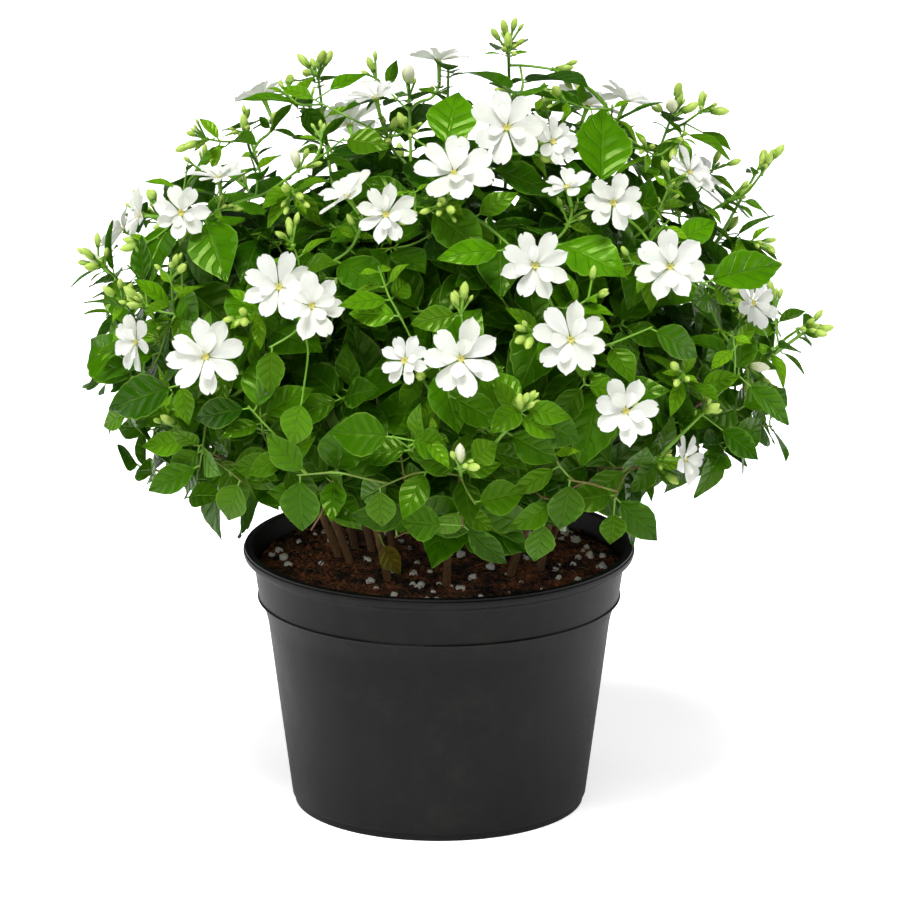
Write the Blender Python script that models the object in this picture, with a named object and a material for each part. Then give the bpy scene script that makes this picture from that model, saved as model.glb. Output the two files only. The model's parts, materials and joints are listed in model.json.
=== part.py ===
"""A potted Arabian jasmine in flower, in metres, with +Z up and its best side looking along -Y.

The origin is the centre of the pot's underside. The pot is a turned shell with drainage holes, the soil is a
turned body with a plain hole for each stem, each leafy stem is one body with its side shoots, leaves, buds
and calyces, and each bloom is one body with its tube and its petals in two layers.

The plant grows in code: stems first, then the blooms with the shoots that carry them, then the buds, the
large leaves, and last the leaf pairs along every shoot. Each piece is tried against what already stands there
and is turned, shortened or left out until it is clear, as leaves make room for each other on the real plant.
"""

import math
import random

import bpy
from mathutils import Quaternion, Vector
from mathutils.bvhtree import BVHTree

# The pot
POT_HEIGHT = 0.1355
RIM_RADIUS = 0.100
LIP_WIDTH = 0.0042
LIP_DEPTH = 0.0022
LIP_EDGE = 0.0005
COLLAR_TOP = (0.0949, 0.1253)
COLLAR_LOW = (0.0930, 0.1093)
COLLAR_CHAMFER = (0.0881, 0.1019)
WALL_TOP = (0.0848, 0.0940)
WALL_FOOT = (0.0754, 0.0043)
FOOT_RADIUS = 0.0740
FOOT_STEP = 0.0008
POT_WALL = 0.0018
POT_FLOOR = 0.0028
POT_SIDES = 32
DRAIN_HOLES = 6
DRAIN_RADIUS = 0.0065
DRAIN_RING = 0.046
DRAIN_SIDES = 8

# The soil
SOIL_GAP = 0.0004
SOIL_TOP = 0.1255
SOIL_MOUND = 0.0022
SOIL_SIDES = 16
STEM_HOLE_DEPTH = 0.020
STEM_HOLE_SIDES = 5

# The crown: an upright egg that the leaves and blooms lie on
CROWN_CENTRE = Vector((0.0, 0.0, 0.2485))
CROWN_REACH = Vector((0.172, 0.158, 0.134))
LOWEST_LEAF = 0.1395

# Stems and shoots
STEM_FOOT_RADIUS = 0.0026
STEM_TIP_RADIUS = 0.0012
SHOOT_FOOT_RADIUS = 0.0015
SHOOT_TIP_RADIUS = 0.0010
SHOOT_END = 0.0014
STEM_ROOT_RING = (0.012, 0.052)
STEM_ROOT_RISE = 0.052
STEM_SPACING = 0.002
STEM_STEPS = 5
FLOWER_SHOOT_STEPS = 3
LEAF_SHOOT_STEPS = 2
LONGEST_SHOOT = 0.105
NEAREST_FOOT = 0.016
CROWDING = 0.0012
CLEARANCE = 0.0004

# Leaves and blooms
LEAF_KEEL = 0.0008
LEAF_PETIOLE = 0.10
LARGE_LEAF_WIDTH = 0.018
LARGE_LEAF_STATIONS = (0.18, 0.47, 0.78)
SMALL_LEAF_STATIONS = (0.27, 0.71)
TUBE_LENGTH = 0.0105
TUBE_RADIUS = 0.0012
THROAT_RADIUS = 0.0021
CALYX_LENGTH = 0.0032
CALYX_RADIUS = 0.0017
PETAL_KEEL = 0.0009
BUD_SUNK = 0.0015
BUD_STALK = 0.002
BUD_STALK_RADIUS = 0.0008
BUD_TIP_RADIUS = 0.0005
BUD_PLUMPNESS = 0.21
BUD_REACH = 0.020
OUTER_PETALS = 6
INNER_PETALS = 3

# The photograph that the places were read from: its scale, the pixel of the rim's centre, and its view
PIXEL = 0.000511
MIDDLE_PIXEL = 450.0
RIM_PIXEL_X = 439.0
RIM_PIXEL_Y = 543.7
VIEW_DROP = math.radians(15.7)
CAMERA_AWAY = 4.0
SIGHT_RIGHT = Vector((1.0, 0.0, 0.0))
SIGHT_UP = Vector((0.0, math.sin(VIEW_DROP), math.cos(VIEW_DROP)))
SIGHT_AWAY = Vector((0.0, math.cos(VIEW_DROP), -math.sin(VIEW_DROP)))
RIM_CENTRE = Vector((0.0, 0.0, POT_HEIGHT))
UP = Vector((0.0, 0.0, 1.0))

# Stems that end where the photograph shows a tip: pixel x, pixel y and depth of the tip, then of its lead
STEMS_SEEN = (
    (98, 263, -0.005, 165, 335, -0.010),
    (168, 419, -0.020, 235, 470, -0.020),
    (245, 122, -0.005, 270, 215, -0.010),
    (318, 76, -0.010, 328, 190, -0.010),
    (409, 96, -0.020, 412, 200, -0.040),
    (509, 44, -0.005, 520, 150, -0.010),
    (671, 118, -0.010, 640, 215, -0.020),
    (760, 166, 0.000, 715, 265, -0.010),
    (806, 331, -0.010, 735, 395, -0.020),
    (655, 464, -0.090, 610, 470, -0.080),
    (461, 470, -0.135, 458, 520, -0.115),
    (285, 395, -0.120, 320, 450, -0.100),
)
# Stems on the far side: azimuth from straight behind and height angle, in degrees
STEMS_BEHIND = ((-72, 22), (-38, 8), (-34, 46), (2, 24), (4, 66), (40, 12), (36, 48), (74, 26))

# Blooms: pixel x and y of the throat, lift, facing right, up and forward, diameter
BLOOMS_SEEN = (
    (141, 215, 0.000, -0.95, 0.10, 0.30, 0.028),
    (181, 213, 0.004, 0.05, 0.10, 1.00, 0.028),
    (219, 178, 0.000, -0.10, 0.90, 0.35, 0.027),
    (137, 342, 0.000, -0.75, -0.10, 0.60, 0.030),
    (206, 357, 0.008, -0.10, 0.10, 1.00, 0.038),
    (279, 287, 0.000, 0.00, 0.10, 1.00, 0.036),
    (311, 306, 0.012, 0.30, 0.10, 1.00, 0.033),
    (348, 197, 0.004, -0.50, 0.75, 0.40, 0.032),
    (386, 215, 0.006, 0.00, 0.15, 1.00, 0.030),
    (376, 98, 0.004, -0.20, 0.85, 0.35, 0.031),
    (454, 174, 0.012, 0.00, 0.55, 0.85, 0.041),
    (405, 361, 0.000, -0.25, 0.15, 1.00, 0.025),
    (461, 359, 0.014, 0.05, 0.10, 1.00, 0.038),
    (507, 128, 0.012, 0.00, 0.20, 1.00, 0.038),
    (552, 142, 0.000, 0.50, 0.30, 0.80, 0.026),
    (535, 266, 0.004, 0.05, 0.05, 1.00, 0.035),
    (567, 188, 0.000, -0.20, 0.80, 0.50, 0.026),
    (613, 203, 0.006, 0.10, 0.10, 1.00, 0.030),
    (571, 340, 0.008, 0.00, 0.05, 1.00, 0.037),
    (689, 173, 0.004, 0.60, 0.60, 0.50, 0.028),
    (670, 267, 0.010, 0.00, 0.10, 1.00, 0.037),
    (626, 411, 0.008, 0.10, 0.00, 1.00, 0.034),
    (684, 459, 0.000, 0.85, 0.00, 0.50, 0.026),
    (752, 303, 0.000, 0.70, 0.10, 0.70, 0.028),
)
# Blooms on the far side, from its left to its right: their height angles in degrees
BLOOM_HEIGHTS_BEHIND = (18, 52, 2, 34, 66, 10, 44, 24, 56)

# Single leaves that stand out: pixel x and y and lift of the foot, then of the tip, and the width in pixels
LEAVES_SEEN = (
    (138, 290, 0.000, 137, 237, 0.000, 24),
    (178, 385, 0.004, 107, 408, 0.000, 45),
    (200, 465, 0.000, 150, 491, 0.000, 30),
    (240, 480, 0.004, 225, 523, 0.004, 35),
    (315, 100, 0.000, 284, 90, 0.000, 18),
    (330, 97, 0.000, 364, 68, 0.000, 20),
    (445, 150, -0.010, 458, 88, -0.004, 54),
    (598, 185, -0.006, 606, 104, -0.002, 58),
    (690, 142, 0.000, 732, 145, 0.000, 20),
    (703, 283, 0.006, 780, 262, 0.000, 44),
    (738, 375, 0.000, 745, 320, 0.004, 36),
    (740, 385, 0.000, 790, 424, 0.000, 26),
    (700, 422, 0.000, 755, 457, 0.000, 28),
    (650, 328, 0.004, 705, 355, 0.004, 34),
    (615, 497, 0.000, 656, 540, 0.000, 34),
    (598, 500, 0.004, 611, 543, 0.004, 29),
    (570, 480, 0.000, 561, 531, 0.002, 39),
    (545, 520, 0.002, 535, 566, 0.000, 31),
    (463, 525, 0.004, 507, 565, 0.000, 26),
    (460, 513, 0.008, 403, 523, 0.008, 37),
    (474, 502, 0.010, 525, 493, 0.006, 38),
    (380, 487, 0.000, 382, 529, 0.002, 31),
    (300, 475, 0.002, 301, 533, 0.004, 42),
    (394, 437, 0.006, 330, 432, 0.008, 50),
    (302, 400, 0.004, 292, 446, 0.006, 43),
    (250, 408, 0.000, 190, 418, 0.002, 32),
    (272, 346, 0.000, 270, 393, 0.004, 30),
    (400, 316, 0.000, 350, 312, 0.004, 28),
    (461, 315, 0.002, 412, 322, 0.004, 28),
    (449, 395, 0.004, 503, 424, 0.006, 34),
    (505, 250, 0.000, 440, 256, 0.004, 30),
    (532, 430, 0.004, 580, 440, 0.004, 37),
    (400, 442, -0.002, 447, 447, 0.004, 32),
    (448, 447, 0.002, 494, 445, 0.004, 38),
    (668, 232, -0.002, 714, 220, 0.000, 30),
    (698, 302, 0.000, 733, 298, 0.000, 36),
    (342, 140, 0.000, 386, 142, 0.002, 40),
)

# Buds: pixel x and y of the tip, lift, pointing right, up and forward, length
BUDS_SEEN = (
    (85, 252, 0.000, -0.8, 0.6, 0.2, 0.011),
    (126, 304, 0.000, -1.0, 0.1, 0.3, 0.009),
    (160, 415, 0.000, -0.8, 0.5, 0.3, 0.009),
    (243, 113, 0.000, -0.1, 1.0, 0.2, 0.009),
    (293, 147, 0.004, -0.2, 0.9, 0.5, 0.011),
    (324, 50, 0.000, 0.2, 1.0, 0.1, 0.010),
    (303, 72, 0.000, -0.5, 0.9, 0.1, 0.009),
    (409, 64, 0.004, 0.0, 1.0, 0.2, 0.013),
    (508, 31, 0.000, 0.0, 1.0, 0.1, 0.009),
    (574, 67, 0.000, 1.0, 0.1, 0.2, 0.009),
    (680, 82, 0.000, 0.3, 1.0, 0.1, 0.010),
    (672, 100, 0.002, 0.1, 1.0, 0.3, 0.013),
    (652, 104, 0.000, -0.4, 1.0, 0.2, 0.010),
    (703, 90, 0.000, 0.1, 1.0, 0.1, 0.009),
    (730, 111, 0.000, 1.0, 0.3, 0.2, 0.010),
    (764, 152, 0.000, 0.1, 1.0, 0.2, 0.009),
    (820, 325, 0.000, 1.0, 0.2, 0.2, 0.009),
    (770, 368, 0.002, 0.9, -0.1, 0.4, 0.011),
    (460, 443, 0.010, 0.0, 1.0, 0.5, 0.011),
    (398, 112, 0.004, -0.4, 0.9, 0.5, 0.009),
    (440, 198, 0.012, -0.2, 0.3, 0.9, 0.009),
    (520, 393, 0.008, 0.0, 0.8, 0.6, 0.010),
    (720, 404, 0.004, 0.7, 0.4, 0.5, 0.010),
)

# Leaf shoots that fill the crown evenly, and the distance within which a neighbour already fills it
FILL_POINTS = 88
FILL_DISTANCE = 0.035
FILL_LEAF = 0.048

# What is tried, in order, where a piece isn't clear of the rest at first
STEM_ROOT_TRIALS = ((0, 0), (14, 0), (-14, 0), (0, 0.010), (28, 0.004), (-28, 0.004), (0, -0.010), (42, 0))
HOST_TRIALS = 60
STANDING_OUT = 2.0
LEAF_LIFT_TRIALS = (0.0, 0.004, -0.005, 0.009, -0.010, 0.014)
LEAF_TURN_TRIALS = ((0, 1.0), (0.35, 0.95), (-0.35, 0.95), (0.8, 0.85), (-0.8, 0.85), (0, 0.7))
SEED = 11


def sight(px, py):
    """The line of sight through a pixel: its point in the plane of the pot's axis, and its step for each metre."""
    middle = SIGHT_RIGHT * (MIDDLE_PIXEL - RIM_PIXEL_X) + SIGHT_UP * (RIM_PIXEL_Y - MIDDLE_PIXEL)
    offset = SIGHT_RIGHT * (px - MIDDLE_PIXEL) + SIGHT_UP * (MIDDLE_PIXEL - py)
    return RIM_CENTRE + (middle + offset) * PIXEL, SIGHT_AWAY + offset * PIXEL / CAMERA_AWAY


def seen_at(px, py, depth):
    """The point at a pixel of the photograph that lies this far behind the pot's axis."""
    start, step = sight(px, py)
    return start + step * depth


def on_crown(px, py, lift):
    """Where the sight through a pixel meets the crown's front or passes it, lifted towards the camera."""
    start, step = sight(px, py)
    near = [(start - CROWN_CENTRE)[i] / CROWN_REACH[i] for i in range(3)]
    pace = [step[i] / CROWN_REACH[i] for i in range(3)]
    a = sum(p * p for p in pace)
    b = sum(n * p for n, p in zip(near, pace))
    c = sum(n * n for n in near) - 1.0
    inside = max(b * b - a * c, 0.0)
    return start + step * ((-b - math.sqrt(inside)) / a - lift)


def crown_normal(point):
    """The outward direction of the crown at or near a point."""
    offset = point - CROWN_CENTRE
    return Vector([offset[i] / CROWN_REACH[i] ** 2 for i in range(3)]).normalized()


def crown_depth(point):
    """1 on the crown's surface, less inside it."""
    offset = point - CROWN_CENTRE
    return math.sqrt(sum((offset[i] / CROWN_REACH[i]) ** 2 for i in range(3)))


def crown_point(azimuth, height, scale=1.0):
    """A point of the crown by its azimuth from straight behind and its height angle, in radians."""
    flat = math.cos(height)
    way = Vector((math.sin(azimuth) * flat, math.cos(azimuth) * flat, math.sin(height)))
    return CROWN_CENTRE + Vector([way[i] * CROWN_REACH[i] * scale for i in range(3)])


def in_view(right, up, forward):
    """A direction given as the photograph shows it: to the right, up, and towards the camera."""
    return (SIGHT_RIGHT * right + SIGHT_UP * up - SIGHT_AWAY * forward).normalized()


def across(direction, towards=UP):
    """The unit vector nearest to `towards` that is square to a direction."""
    flat = towards - direction * towards.dot(direction)
    if flat.length < 0.05:
        flat = Vector((1.0, 0.0, 0.0)) - direction * direction.x
    return flat.normalized()


def curve_at(controls, t):
    """A point of the cubic curve through four control points."""
    a, b, c, d = controls
    s = 1.0 - t
    return a * s**3 + b * (3 * s * s * t) + c * (3 * s * t * t) + d * t**3


def curve_path(controls, steps):
    """Evenly spaced points of a curve. Shoots and leaves grow at these points or between them."""
    return [curve_at(controls, k / steps) for k in range(steps + 1)]


def path_at(path, t):
    """A point of a path and its direction there, at a share of the path's steps."""
    place = min(t * (len(path) - 1), len(path) - 1.001)
    k = int(place)
    return path[k].lerp(path[k + 1], place - k), (path[k + 1] - path[k]).normalized()


def tube(path, radii, sides):
    """A closed tube along a path, as points and faces. Its rings turn with the path and don't twist."""
    points, faces = [], []
    way = (path[1] - path[0]).normalized()
    side = across(way, Vector((0.3, 1.0, 0.2)))
    for i, (centre, radius) in enumerate(zip(path, radii)):
        after, before = path[min(i + 1, len(path) - 1)], path[max(i - 1, 0)]
        turned = (after - before).normalized()
        side = way.rotation_difference(turned) @ side
        way = turned
        other = way.cross(side)
        for k in range(sides):
            angle = 2 * math.pi * k / sides
            points.append(centre + (side * math.cos(angle) + other * math.sin(angle)) * radius)
    for i in range(len(path) - 1):
        for k in range(sides):
            a, b = i * sides + k, i * sides + (k + 1) % sides
            faces.append((a, b, b + sides, a + sides))
    last = (len(path) - 1) * sides
    faces.append(tuple(range(sides - 1, -1, -1)))
    faces.append(tuple(last + k for k in range(sides)))
    return points, faces


def leaf_half_width(blade):
    """Half the width of a leaf at a share of its blade's length, as a share of the greatest half width."""
    return math.sin(math.pi * blade**0.88) ** 0.72 * (1.0 - 0.18 * blade**6) if 0.0 < blade < 1.0 else 0.0


def leaf_point(leaf, t, s, lift=0.0):
    """A point of a leaf: t runs from -1 at the stalk's foot over 0 where the blade starts to 1 at the tip, and
    s from edge to edge. The blade folds a little, droops and waves."""
    side = leaf["normal"].cross(leaf["way"])
    stalk = leaf["stalk"]
    share = stalk + (1.0 - stalk) * t if t > 0.0 else stalk * (1.0 + t)
    half = leaf["width"] / 2 * leaf_half_width(t)
    wave = leaf["wave"] * math.sin(leaf["phase"] + 7.5 * t + 1.2 * s) * s * s
    rise = leaf["fold"] * abs(s) * half - leaf["droop"] * leaf["length"] * share * share + wave
    along = leaf["length"] * (share - 0.35 * leaf["droop"] ** 2 * share * share)
    return leaf["foot"] + leaf["way"] * along + side * (s * half) + leaf["normal"] * (rise + lift)


def leaf_blade(leaf):
    """A closed blade: one waved edge, a smooth upper face, and under it a keel along the midrib."""
    points = [leaf_point(leaf, -1.0, 0.0)]
    for t in leaf["stations"]:
        keel = LEAF_KEEL * (1.6 - t)
        points += [leaf_point(leaf, t, 1.0), leaf_point(leaf, t, -1.0), leaf_point(leaf, t, 0.0, -keel)]
    points.append(leaf_point(leaf, 1.0, 0.0))
    left, right, under, tip = 1, 2, 3, len(points) - 1
    faces = [(0, right, left), (0, left, under), (0, under, right)]
    for k in range(len(leaf["stations"]) - 1):
        l0, r0, u0 = (3 * k + n for n in (left, right, under))
        l1, r1, u1 = l0 + 3, r0 + 3, u0 + 3
        faces += [(l0, r0, r1), (l0, r1, l1), (u0, l0, l1), (u0, l1, u1), (u0, u1, r1), (u0, r1, r0)]
    l1, r1, u1 = tip - 3, tip - 2, tip - 1
    faces += [(r1, tip, l1), (u1, l1, tip), (u1, tip, r1)]
    return points, faces


def petal_half_width(t):
    """Half the width of a petal: narrow at its claw, broadest beyond the middle, round at its end."""
    return t**0.7 * math.sqrt(max(1.0 - t**4, 0.0)) / 0.68


def petal_point(bloom, petal, t, s, lift=0.0):
    """A point of a petal: t runs outwards and s from edge to edge. One edge lies over the next petal's."""
    facing = bloom["facing"]
    radial = bloom["east"] * math.cos(petal["angle"]) + bloom["north"] * math.sin(petal["angle"])
    tangent = facing.cross(radial)
    half = petal["width"] / 2 * petal_half_width(t)
    slope = petal["opening"] + (petal["curl"] - petal["opening"]) * t / 2
    reach = THROAT_RADIUS + petal["length"] * t * math.cos(slope)
    rise = petal["length"] * t * math.sin(slope) + petal["twist"] * s * half + petal["cup"] * s * s * half
    normal = facing * math.cos(slope) - radial * math.sin(slope)
    return bloom["throat"] + radial * reach + tangent * (s * half) + facing * rise + normal * lift


def bloom_petals(bloom, outer, inner):
    """The petals of a bloom: an open outer ring, and fewer, shorter and more upright ones inside it."""
    draw = random.Random(bloom["seed"])
    reach = bloom["size"] / 2
    petals = []
    for k in range(outer):
        angle = bloom["turn"] + 2 * math.pi * k / outer
        petals.append({
            "side": k,
            "angle": angle,
            "length": (reach - THROAT_RADIUS) * draw.uniform(0.97, 1.05),
            "width": reach * 6.6 / outer * draw.uniform(0.52, 0.57),
            "opening": math.radians(draw.uniform(26, 36)),
            "curl": math.radians(draw.uniform(-18, -4)),
            "twist": 0.26,
            "cup": 0.12,
            "layer": 0,
        })
    for k in range(inner):
        side = k * outer // inner
        petals.append({
            "side": side,
            "angle": bloom["turn"] + 2 * math.pi * side / outer,
            "length": reach * draw.uniform(0.58, 0.66),
            "width": reach * draw.uniform(0.46, 0.52),
            "opening": math.radians(draw.uniform(56, 64)),
            "curl": math.radians(draw.uniform(22, 34)),
            "twist": 0.20,
            "cup": 0.20,
            "layer": 1,
        })
    return petals


def petal_blade(bloom, petal, points, roots, faces):
    """Adds one closed petal that grows out of the four root points of its side of the flower's head."""
    under_right, under_left, over_right, over_left = roots
    left = len(points)
    right, under, end_left, end_right = (left + n for n in range(1, 5))
    points += [petal_point(bloom, petal, 0.62, 1.0), petal_point(bloom, petal, 0.62, -1.0)]
    points.append(petal_point(bloom, petal, 0.62, 0.0, -PETAL_KEEL))
    points += [petal_point(bloom, petal, 0.97, 1.0), petal_point(bloom, petal, 0.97, -1.0)]
    faces += [(over_left, over_right, right), (over_left, right, left)]
    faces += [(under_right, under_left, under), (under_left, left, under), (under_right, under, right)]
    faces += [(over_left, left, under_left), (over_right, under_right, right)]
    faces += [(left, right, end_right), (left, end_right, end_left)]
    faces += [(under, left, end_left), (under, end_left, end_right), (under, end_right, right)]


def bloom_blade(bloom):
    """One closed bloom: the tube, the outer petals round its head and the inner ones above them."""
    sides = OUTER_PETALS
    petals = bloom_petals(bloom, OUTER_PETALS, INNER_PETALS)
    points, faces = [], []
    head = PETAL_KEEL * 1.1
    for radius, rise in (
        (TUBE_RADIUS, -TUBE_LENGTH),
        (THROAT_RADIUS * 0.9, -head),
        (THROAT_RADIUS, 0.0),
        (THROAT_RADIUS * 0.8, head),
    ):
        for k in range(sides):
            angle = bloom["turn"] + 2 * math.pi * (k - 0.5) / sides
            radial = bloom["east"] * math.cos(angle) + bloom["north"] * math.sin(angle)
            points.append(bloom["throat"] + radial * radius + bloom["facing"] * rise)
    foot, under, over, crown = (ring * sides for ring in range(4))
    points.append(bloom["throat"] + bloom["facing"] * (head * 0.3))
    throat = len(points) - 1
    faces.append(tuple(foot + k for k in range(sides - 1, -1, -1)))
    inner_sides = {petal["side"] for petal in petals if petal["layer"]}
    for k in range(sides):
        after = (k + 1) % sides
        faces.append((foot + k, foot + after, under + after, under + k))
        faces.append((crown + k, crown + after, throat))
        if k not in inner_sides:
            faces.append((over + k, over + after, crown + after, crown + k))
    for petal in petals:
        k, after = petal["side"], (petal["side"] + 1) % sides
        low, high = (over, crown) if petal["layer"] else (under, over)
        petal_blade(bloom, petal, points, (low + k, low + after, high + k, high + after), faces)
    return points, faces


def bud_blade(bud):
    """A closed bud: a slim stalk that swells into a pointed bud."""
    foot, way = bud["foot"], bud["way"]
    widest = bud["stalk"] + bud["length"] * 0.45
    end = bud["stalk"] + bud["length"]
    path = [foot - way * BUD_SUNK, foot + way * widest, foot + way * end]
    return tube(path, (BUD_STALK_RADIUS, bud["length"] * BUD_PLUMPNESS, BUD_TIP_RADIUS), 4)


class Thicket:
    """What already stands in the crown, so that each new piece can be tried against it."""

    def __init__(self):
        self.pieces = []

    def add(self, owner, points, faces):
        self.pieces.append((owner, box_of(points), BVHTree.FromPolygons(points, faces)))

    def drop(self, owner):
        self.pieces = [piece for piece in self.pieces if piece[0] != owner]

    def clear(self, points, faces, ignore=None):
        """True where the new piece keeps its clearance from all that stands, but for the ignored owner's."""
        low, high = box_of(points)
        tree = None
        for owner, (other_low, other_high), other in self.pieces:
            if owner == ignore:
                continue
            if apart(low, high, other_low, other_high):
                continue
            tree = tree or BVHTree.FromPolygons(points, faces)
            if tree.overlap(other):
                return False
            if any(other.find_nearest(p, CLEARANCE)[0] is not None for p in points):
                return False
        return True


def box_of(points):
    """The lowest and highest corner of some points."""
    low = [min(p[i] for p in points) for i in range(3)]
    high = [max(p[i] for p in points) for i in range(3)]
    return low, high


def apart(low, high, other_low, other_high):
    """True where two boxes lie further apart than the clearance."""
    return any(low[i] > other_high[i] + CLEARANCE or other_low[i] > high[i] + CLEARANCE for i in range(3))


def beyond_root(points, faces, skip):
    """A piece without its first points, for trying: its root lies inside what it grows from."""
    kept = [tuple(i - skip for i in face) for face in faces if min(face) >= skip]
    return points[skip:], kept


class Jasmine:
    """The growing plant: stems, shoots, leaves, buds and blooms as plain values, and the thicket they fill."""

    def __init__(self):
        self.draw = random.Random(SEED)
        self.thicket = Thicket()
        self.branches = []
        self.leaves = []
        self.buds = []
        self.blooms = []
        self.left_out = []

    def grow(self):
        self.grow_stems()
        self.grow_blooms()
        self.grow_buds()
        self.grow_single_leaves()
        self.grow_leaf_pairs()
        self.fill_crown()

    def stems(self):
        return [branch for branch in self.branches if branch["kind"] == "stem"]

    def grow_stems(self):
        ends = [(seen_at(*row[:3]), seen_at(*row[3:])) for row in STEMS_SEEN]
        for azimuth, height in STEMS_BEHIND:
            angles = math.radians(azimuth), math.radians(height)
            ends.append((crown_point(*angles, 1.0), crown_point(*angles, 0.55) + UP * 0.012))
        for tip, lead in ends:
            self.grow_stem(tip, lead)

    def grow_stem(self, tip, lead):
        """A stem rises from the soil on its own side of the pot and bends out to its tip."""
        name = f"stem_{len(self.branches) + 1:02d}"
        outward = Vector((tip.x, tip.y, 0.0))
        nearest, furthest = STEM_ROOT_RING
        reach = min(nearest + 0.24 * outward.length, furthest)
        for turn, spare in STEM_ROOT_TRIALS:
            way = Quaternion(UP, math.radians(turn)) @ outward.normalized()
            root = way * (reach + spare) + UP * SOIL_TOP
            controls = (root, root + UP * STEM_ROOT_RISE + way * 0.008, lead, tip)
            stem = {"kind": "stem", "owner": name, "path": curve_path(controls, STEM_STEPS), "end": tip}
            path, radii, sides = branch_tube(stem)
            if self.thicket.clear(*tube(path, [radius + STEM_SPACING for radius in radii], sides)):
                break
        self.thicket.add(name, *tube(path, radii, sides))
        self.branches.append(stem)

    def host_sites(self, end, way):
        """Places that a shoot to `end` could leave from, the most natural one first. A stem that carries much
        comes later."""
        sites = []
        owners = [branch["owner"] for branch in self.branches]
        for branch in self.branches:
            steps = 25 if branch["kind"] == "stem" else 8
            for step in range(steps // 5 + 1, steps):
                t = step / steps
                site, along = path_at(branch["path"], t)
                offset = end - site
                length = offset.length
                if not 0.006 < length < LONGEST_SHOOT:
                    continue
                forward = offset.dot(along) / length
                towards = offset.dot(way) / length
                crowd = CROWDING * owners.count(branch["owner"])
                cost = length * (1.8 - 0.5 * forward - 0.35 * towards) + crowd
                sites.append((cost, len(sites), branch["owner"], site, along))
        return sorted(sites)[:HOST_TRIALS]

    def grow_shoot(self, end, way, kind):
        """A side shoot that leaves a branch and reaches `end` in a given direction, or None if none is clear."""
        for _, _, owner, site, along in self.host_sites(end, way):
            length = (end - site).length
            controls = (site, site + along * length * 0.35, end - way * length * 0.38, end)
            steps = FLOWER_SHOOT_STEPS if kind == "flower" else LEAF_SHOOT_STEPS
            path = curve_path(controls, steps)
            if kind != "flower":
                path[-1] = path[-1] + (path[-1] - path[-2]).normalized() * SHOOT_END
            shoot = {"kind": kind, "owner": owner, "path": path, "end": end, "way": way}
            points, faces = tube(*branch_tube(shoot))
            if lowest(points) < LOWEST_LEAF - 0.01:
                continue
            foot_faces = [face for face in faces if max(face) < 6]
            if not self.thicket.clear(points[:6], foot_faces, ignore=owner):
                continue
            if self.thicket.clear(*beyond_root(points, faces, 3)):
                self.thicket.add(owner, points, faces)
                self.branches.append(shoot)
                return shoot
        return None

    def bloom_places(self):
        places = []
        for px, py, lift, right, up, forward, size in BLOOMS_SEEN:
            places.append((on_crown(px, py, lift), in_view(right, up, forward), size))
        for k, height in enumerate(BLOOM_HEIGHTS_BEHIND):
            azimuth = math.radians(168 * ((k + 0.5) / len(BLOOM_HEIGHTS_BEHIND) - 0.5))
            throat = crown_point(azimuth, math.radians(height), 1.02)
            facing = (crown_normal(throat) + UP * 0.15).normalized()
            places.append((throat, facing, 0.031 + 0.002 * (k % 4)))
        return places

    def grow_blooms(self):
        """All blooms take their places first, then each gets the shoot that carries it."""
        for number, (throat, facing, size) in enumerate(self.bloom_places(), 1):
            east = across(facing, Vector((1.0, 0.2, 0.1)))
            bloom = {
                "name": f"bloom_{number:02d}",
                "throat": throat,
                "facing": facing,
                "east": east,
                "north": facing.cross(east),
                "turn": self.draw.uniform(0, math.pi),
                "seed": 100 + number,
                "size": size,
            }
            points, faces = bloom_blade(bloom)
            if not self.thicket.clear(points, faces):
                self.left_out.append(bloom["name"] + " meets another piece")
            self.thicket.add(bloom["name"], points, faces)
            self.blooms.append(bloom)
        for bloom in self.blooms:
            neck = bloom["throat"] - bloom["facing"] * (TUBE_LENGTH + CLEARANCE + CALYX_LENGTH)
            if self.grow_shoot(neck, bloom["facing"], "flower") is None:
                self.left_out.append(bloom["name"] + " has no shoot")

    def grow_buds(self):
        """A bud grows from a stem's tip or another bud's foot where one is near, or on a shoot of its own. The
        stems on the far side end in one each."""
        for stem in self.stems()[len(STEMS_SEEN):]:
            way = (stem["path"][-1] - stem["path"][-2]).normalized()
            self.grow_bud(stem["path"][-1] + way * 0.014, way, 0.010)
        for px, py, lift, right, up, forward, length in BUDS_SEEN:
            way = in_view(right, up, forward)
            tip = on_crown(px, py, lift)
            if not self.grow_bud(tip, way, length):
                self.left_out.append(f"the bud at {px} {py}")

    def grow_bud(self, tip, way, length):
        neck = tip - way * length
        ends = [(stem["path"][-1], stem["owner"]) for stem in self.stems()]
        ends += [(bud["foot"], bud["owner"]) for bud in self.buds]
        foot, owner = min(ends, key=lambda end: (end[0] - neck).length)
        if (neck - foot).length < BUD_REACH:
            way = (tip - foot).normalized()
            stalk = max((tip - foot).length - length, 0.001)
        else:
            shoot = self.grow_shoot(neck - way * BUD_STALK, way, "bud")
            if shoot is None:
                return False
            foot, stalk, owner = shoot["end"], BUD_STALK, shoot["owner"]
        bud = {"foot": foot, "way": way, "stalk": stalk, "length": length, "owner": owner}
        points, faces = bud_blade(bud)
        if not self.thicket.clear(*beyond_root(points, faces, 4)):
            return False
        if not self.thicket.clear(points, faces, ignore=owner):
            return False
        self.thicket.add(owner, points, faces)
        self.buds.append(bud)
        return True

    def new_leaf(self, foot, way, face, length, width, stations, stalk=LEAF_PETIOLE):
        return {
            "foot": foot,
            "way": way,
            "normal": across(way, face),
            "length": length,
            "width": width,
            "stalk": stalk,
            "stations": stations,
            "fold": self.draw.uniform(0.05, 0.14),
            "droop": self.draw.uniform(0.10, 0.26),
            "wave": length * self.draw.uniform(0.010, 0.026),
            "phase": self.draw.uniform(0, 2 * math.pi),
        }

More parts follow.
